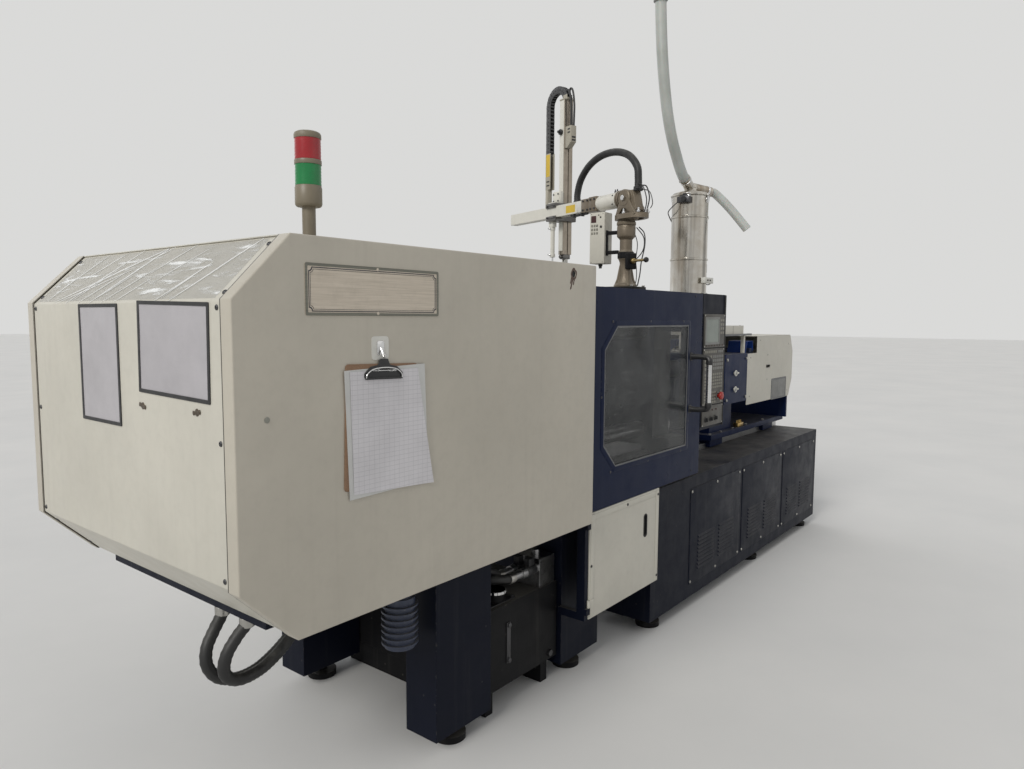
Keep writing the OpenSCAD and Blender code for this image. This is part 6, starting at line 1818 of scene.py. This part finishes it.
def picker_arm():
    """Upright arm with its head, valve box, leads and gripper."""
    # Profile in the brown that paints the shade of its sides; the pale strip below paints its lit
    # face
    s = Shape(PICKER)
    profile_bar(s, (580.5, -102, 1780), (625.5, -42, 2640), ("left", "right", "high"), 4, 8, 2)
    s.done("arm_profile", "arm_shade_brown", "picker_arm", hides="picker_arm")
    # Pale strip over the window-facing side: painted highlight of the arm's lit face
    Shape(PICKER).box((584, -42.2, 1800), (622, -39.6, 2636), 1.0, 2).done(
        "arm_lit_face", "pale_alloy", "picker_arm")
    s = Shape(PICKER)
    s.box((578, -104, 2638), (628, -40, 2646), 1.5, 2)
    s.box((571, -92, 2640), (626, -52, 2652), 1.5, 2)
    s.box((575, -90, 2651), (611, -87, 2668), 0.8, 1)
    s.box((575, -57, 2651), (611, -54, 2668), 0.8, 1)
    s.done("arm_head", "bracket_cream", "picker_arm")
    s = Shape(PICKER)
    out = fillet([(525, 2398), (525, 2488), (580, 2488), (580, 2370), (560, 2370)][::-1], 4, 2)
    s.prism(out, -83.5, -46, "xz", 2)
    s.done("arm_valve_box", "bracket_cream", "picker_arm")
    s = Shape(PICKER)
    for h in (2448, 2466):
        s.box((534, -46.4, h), (556, -44.8, h + 8), 0.6, 1)
    for h in (2404, 2420):
        s.box((523.6, -78, h), (525.4, -52, h + 9), 0.6, 1)
    s.turned([(14, 0), (16, 3), (16, 12), (13, 15), (0, 15)], (604, -39.6, 2462), "y", 22)
    s.turned([(7, 0), (7, 12), (0, 12)], (604, -25, 2462), "y", 14)
    s.done("arm_switches", "black_plastic", "picker_arm")
    for i, pts in enumerate(([(600, -66, 2660), (588, -62, 2690), (566, -62, 2680),
            (548, -62, 2620), (545, -63, 2550), (545, -64, 2489)],
            [(590, -80, 2660), (578, -78, 2700), (552, -76, 2684), (534, -74, 2610),
            (533, -73, 2540), (534, -72, 2489)], [(585, -70, 2652), (570, -70, 2660),
            (556, -70, 2640), (560, -72, 2560), (562, -72, 2489)])):
        lead("arm_lead_%d" % i, "picker_arm", pts, 7.0 - 1.2 * i, PICKER)
    # Gripper
    s = Shape(PICKER)
    s.box((583, -95, 1754), (623, -49, 1781), 3, 2)
    s.turned([(10, 0), (10, 14), (7, 16), (0, 16)], (603, -49, 1767), "y", 16)
    s.done("gripper_body", "dark_alloy", "picker_arm")
    s = Shape(PICKER)
    for k in (-1, 1):
        pts = [(603 + k * 6.4, 1706), (603 + k * 12, 1706), (603 + k * 18, 1722),
            (603 + k * 18, 1756), (603 + k * 6.4, 1756)]
        s.prism(pts if k > 0 else pts[::-1], -80, -64, "xz", 1)
    s.done("gripper_fingers", "zinc", "picker_arm")


# ---- Underside, bed and the machine's inside ----

def underside():
    """Feet, tank, valves, hose ends and pump."""
    s = Shape()
    for x in (-1466, -773):
        for k in (-1, 1):
            s.hexagon(34, 14, (x, k * 349, 44), "z")
    for x in (-210, 1030, 1940):
        for k in (-1, 1):
            s.hexagon(34, 14, (x, k * 425, 44), "z")
    s.done("foot_nuts", "zinc")
    s = Shape()
    s.turned([(38, 0), (39.6, 2), (39.6, 11), (37, 13), (0, 13)], (-1229, -350, 433), "z", 40)
    for x, y in circle(-1229, -350, 39, 20):
        s.box((x - 1.4, y - 1.4, 435), (x + 1.4, y + 1.4, 444), 0.5, 1)
    s.done("breather_cap", "chrome")
    s = Shape()
    s.prism(rounded_rect(-1310, -1150, -385, -205, 10, 4), 400, 404, "xy", 0.8)
    for x, y in ((-1300, -375), (-1160, -375), (-1300, -215), (-1160, -215)):
        s.hexagon(10, 5, (x, y, 404), "z")
    s.box((-1225, -404, 180), (-1203, -400, 330), 2)
    for z in (190, 320):
        s.turned([(9, 0), (9, 5), (5, 7), (0, 7)], (-1214, -404, z), "-y", 14)
    s.turned([(13, 0), (13, 9), (0, 9)], (-960, -400, 125), "-y", 6)
    s.done("tank_fittings", "dark_steel")
    s = Shape()
    for y in (-372, -322):
        s.turned([(20.5, 0), (21.5, 2), (21.5, 52), (20.5, 54), (13, 56), (13, 60), (0, 60)],
                 (-1030, y, 472), "-x", 26)
        s.box((-1072, y - 13, 492), (-1040, y + 13, 520), 2.5)
    s.done("valve_coils", "black_plastic")
    s = Shape()
    for y in (-372, -322):
        s.hexagon(26, 16, (-1134, y, 472), "-x")
        s.turned([(17.5, 0), (19, 2), (19, 26), (17.6, 28), (16, 28)], (-1150, y, 472), "-x", 24)
    for y in (-300, -180):
        s.turned([(17.5, 0), (19.5, 2), (19.5, 26), (17.5, 28), (16, 28)], (-2180, y, 639), "-z",
            24)
    s.done("hose_ends", "zinc")
    # Motor of the main pump: fan cowl, terminal box lid
    s = Shape()
    s.turned([(108, 0), (110, 4), (110, 34), (104, 44), (60, 46), (0, 46)], (-1256, 100, 555), "-x",
        48)
    s.box((-1236, 206, 528), (-1124, 250.5, 612), 3)
    s.done("pump_cowl", "unit_paint")
    s = Shape()
    for x in (-1226, -1134):
        for z in (538, 602):
            s.turned([(4, 0), (4, 2), (0, 2.4)], (x, 250.5, z), "y", 10)
    s.done("pump_screws", "zinc")


def bed_panels():
    """Screwed sheet panels with rows of louvres on both sides and the end of the bed."""
    s, screws = Shape(), Shape()
    for k in (-1, 1):
        ax = OUTWARD[k]
        for x0, x1 in ((60, 690), (720, 1350), (1380, 2010)):
            a, b = sorted((k * 500, k * 502.4))
            s.prism(rounded_rect(x0, x1, 120, 600, 14, 4), a, b, "xz", 0.8)
            for i in range(9):
                z = 180 + 20 * i
                for xa in (x0 + 90, (x0 + x1) / 2 + 30):
                    y0, y1 = k * 502.2, k * 508
                    bm = s.bm
                    q = [bm.verts.new(p) for p in ((xa, y0, z), (xa + 200, y0, z),
                        (xa + 194, y1, z + 3), (xa + 6, y1, z + 3), (xa + 2, y0, z + 13),
                        (xa + 198, y0, z + 13))]
                    bm.faces.new((q[3], q[2], q[5], q[4]))
                    bm.faces.new((q[0], q[3], q[4]))
                    bm.faces.new((q[1], q[5], q[2]))
                    bm.faces.new((q[0], q[1], q[2], q[3]))
                    bm.faces.new((q[0], q[4], q[5], q[1]))
            for x in (x0 + 16, (x0 + x1) / 2, x1 - 16):
                for z in (136, 584):
                    button_head(screws, (x, k * 502.4, z), ax, 7, 3.2)
    s.prism(rounded_rect(-440, 440, 120, 600, 14, 4), 2056.4, 2058.8, "yz", 0.6)
    s.done("bed_panels", "navy_paint")
    for y in (-424, 0, 424):
        for z in (136, 584):
            button_head(screws, (2056.8, y, z), "x", 7, 2.8)
    screws.done("bed_screws", "zinc")


# ---- Everything in its place ----

clamp_cover()
notices()
chamfer_film()
painted_fold_glints()
nameplate()
clipboard()
signal_lamp()
doors()
operators_panel()
chute()
injection_unit()
barrel_parts()
hopper_and_loader()
picker_stand()
hand_set()
picker_top()
neck_leads()
picker_slide()
chain_links()
picker_arm()
underside()
bed_panels()
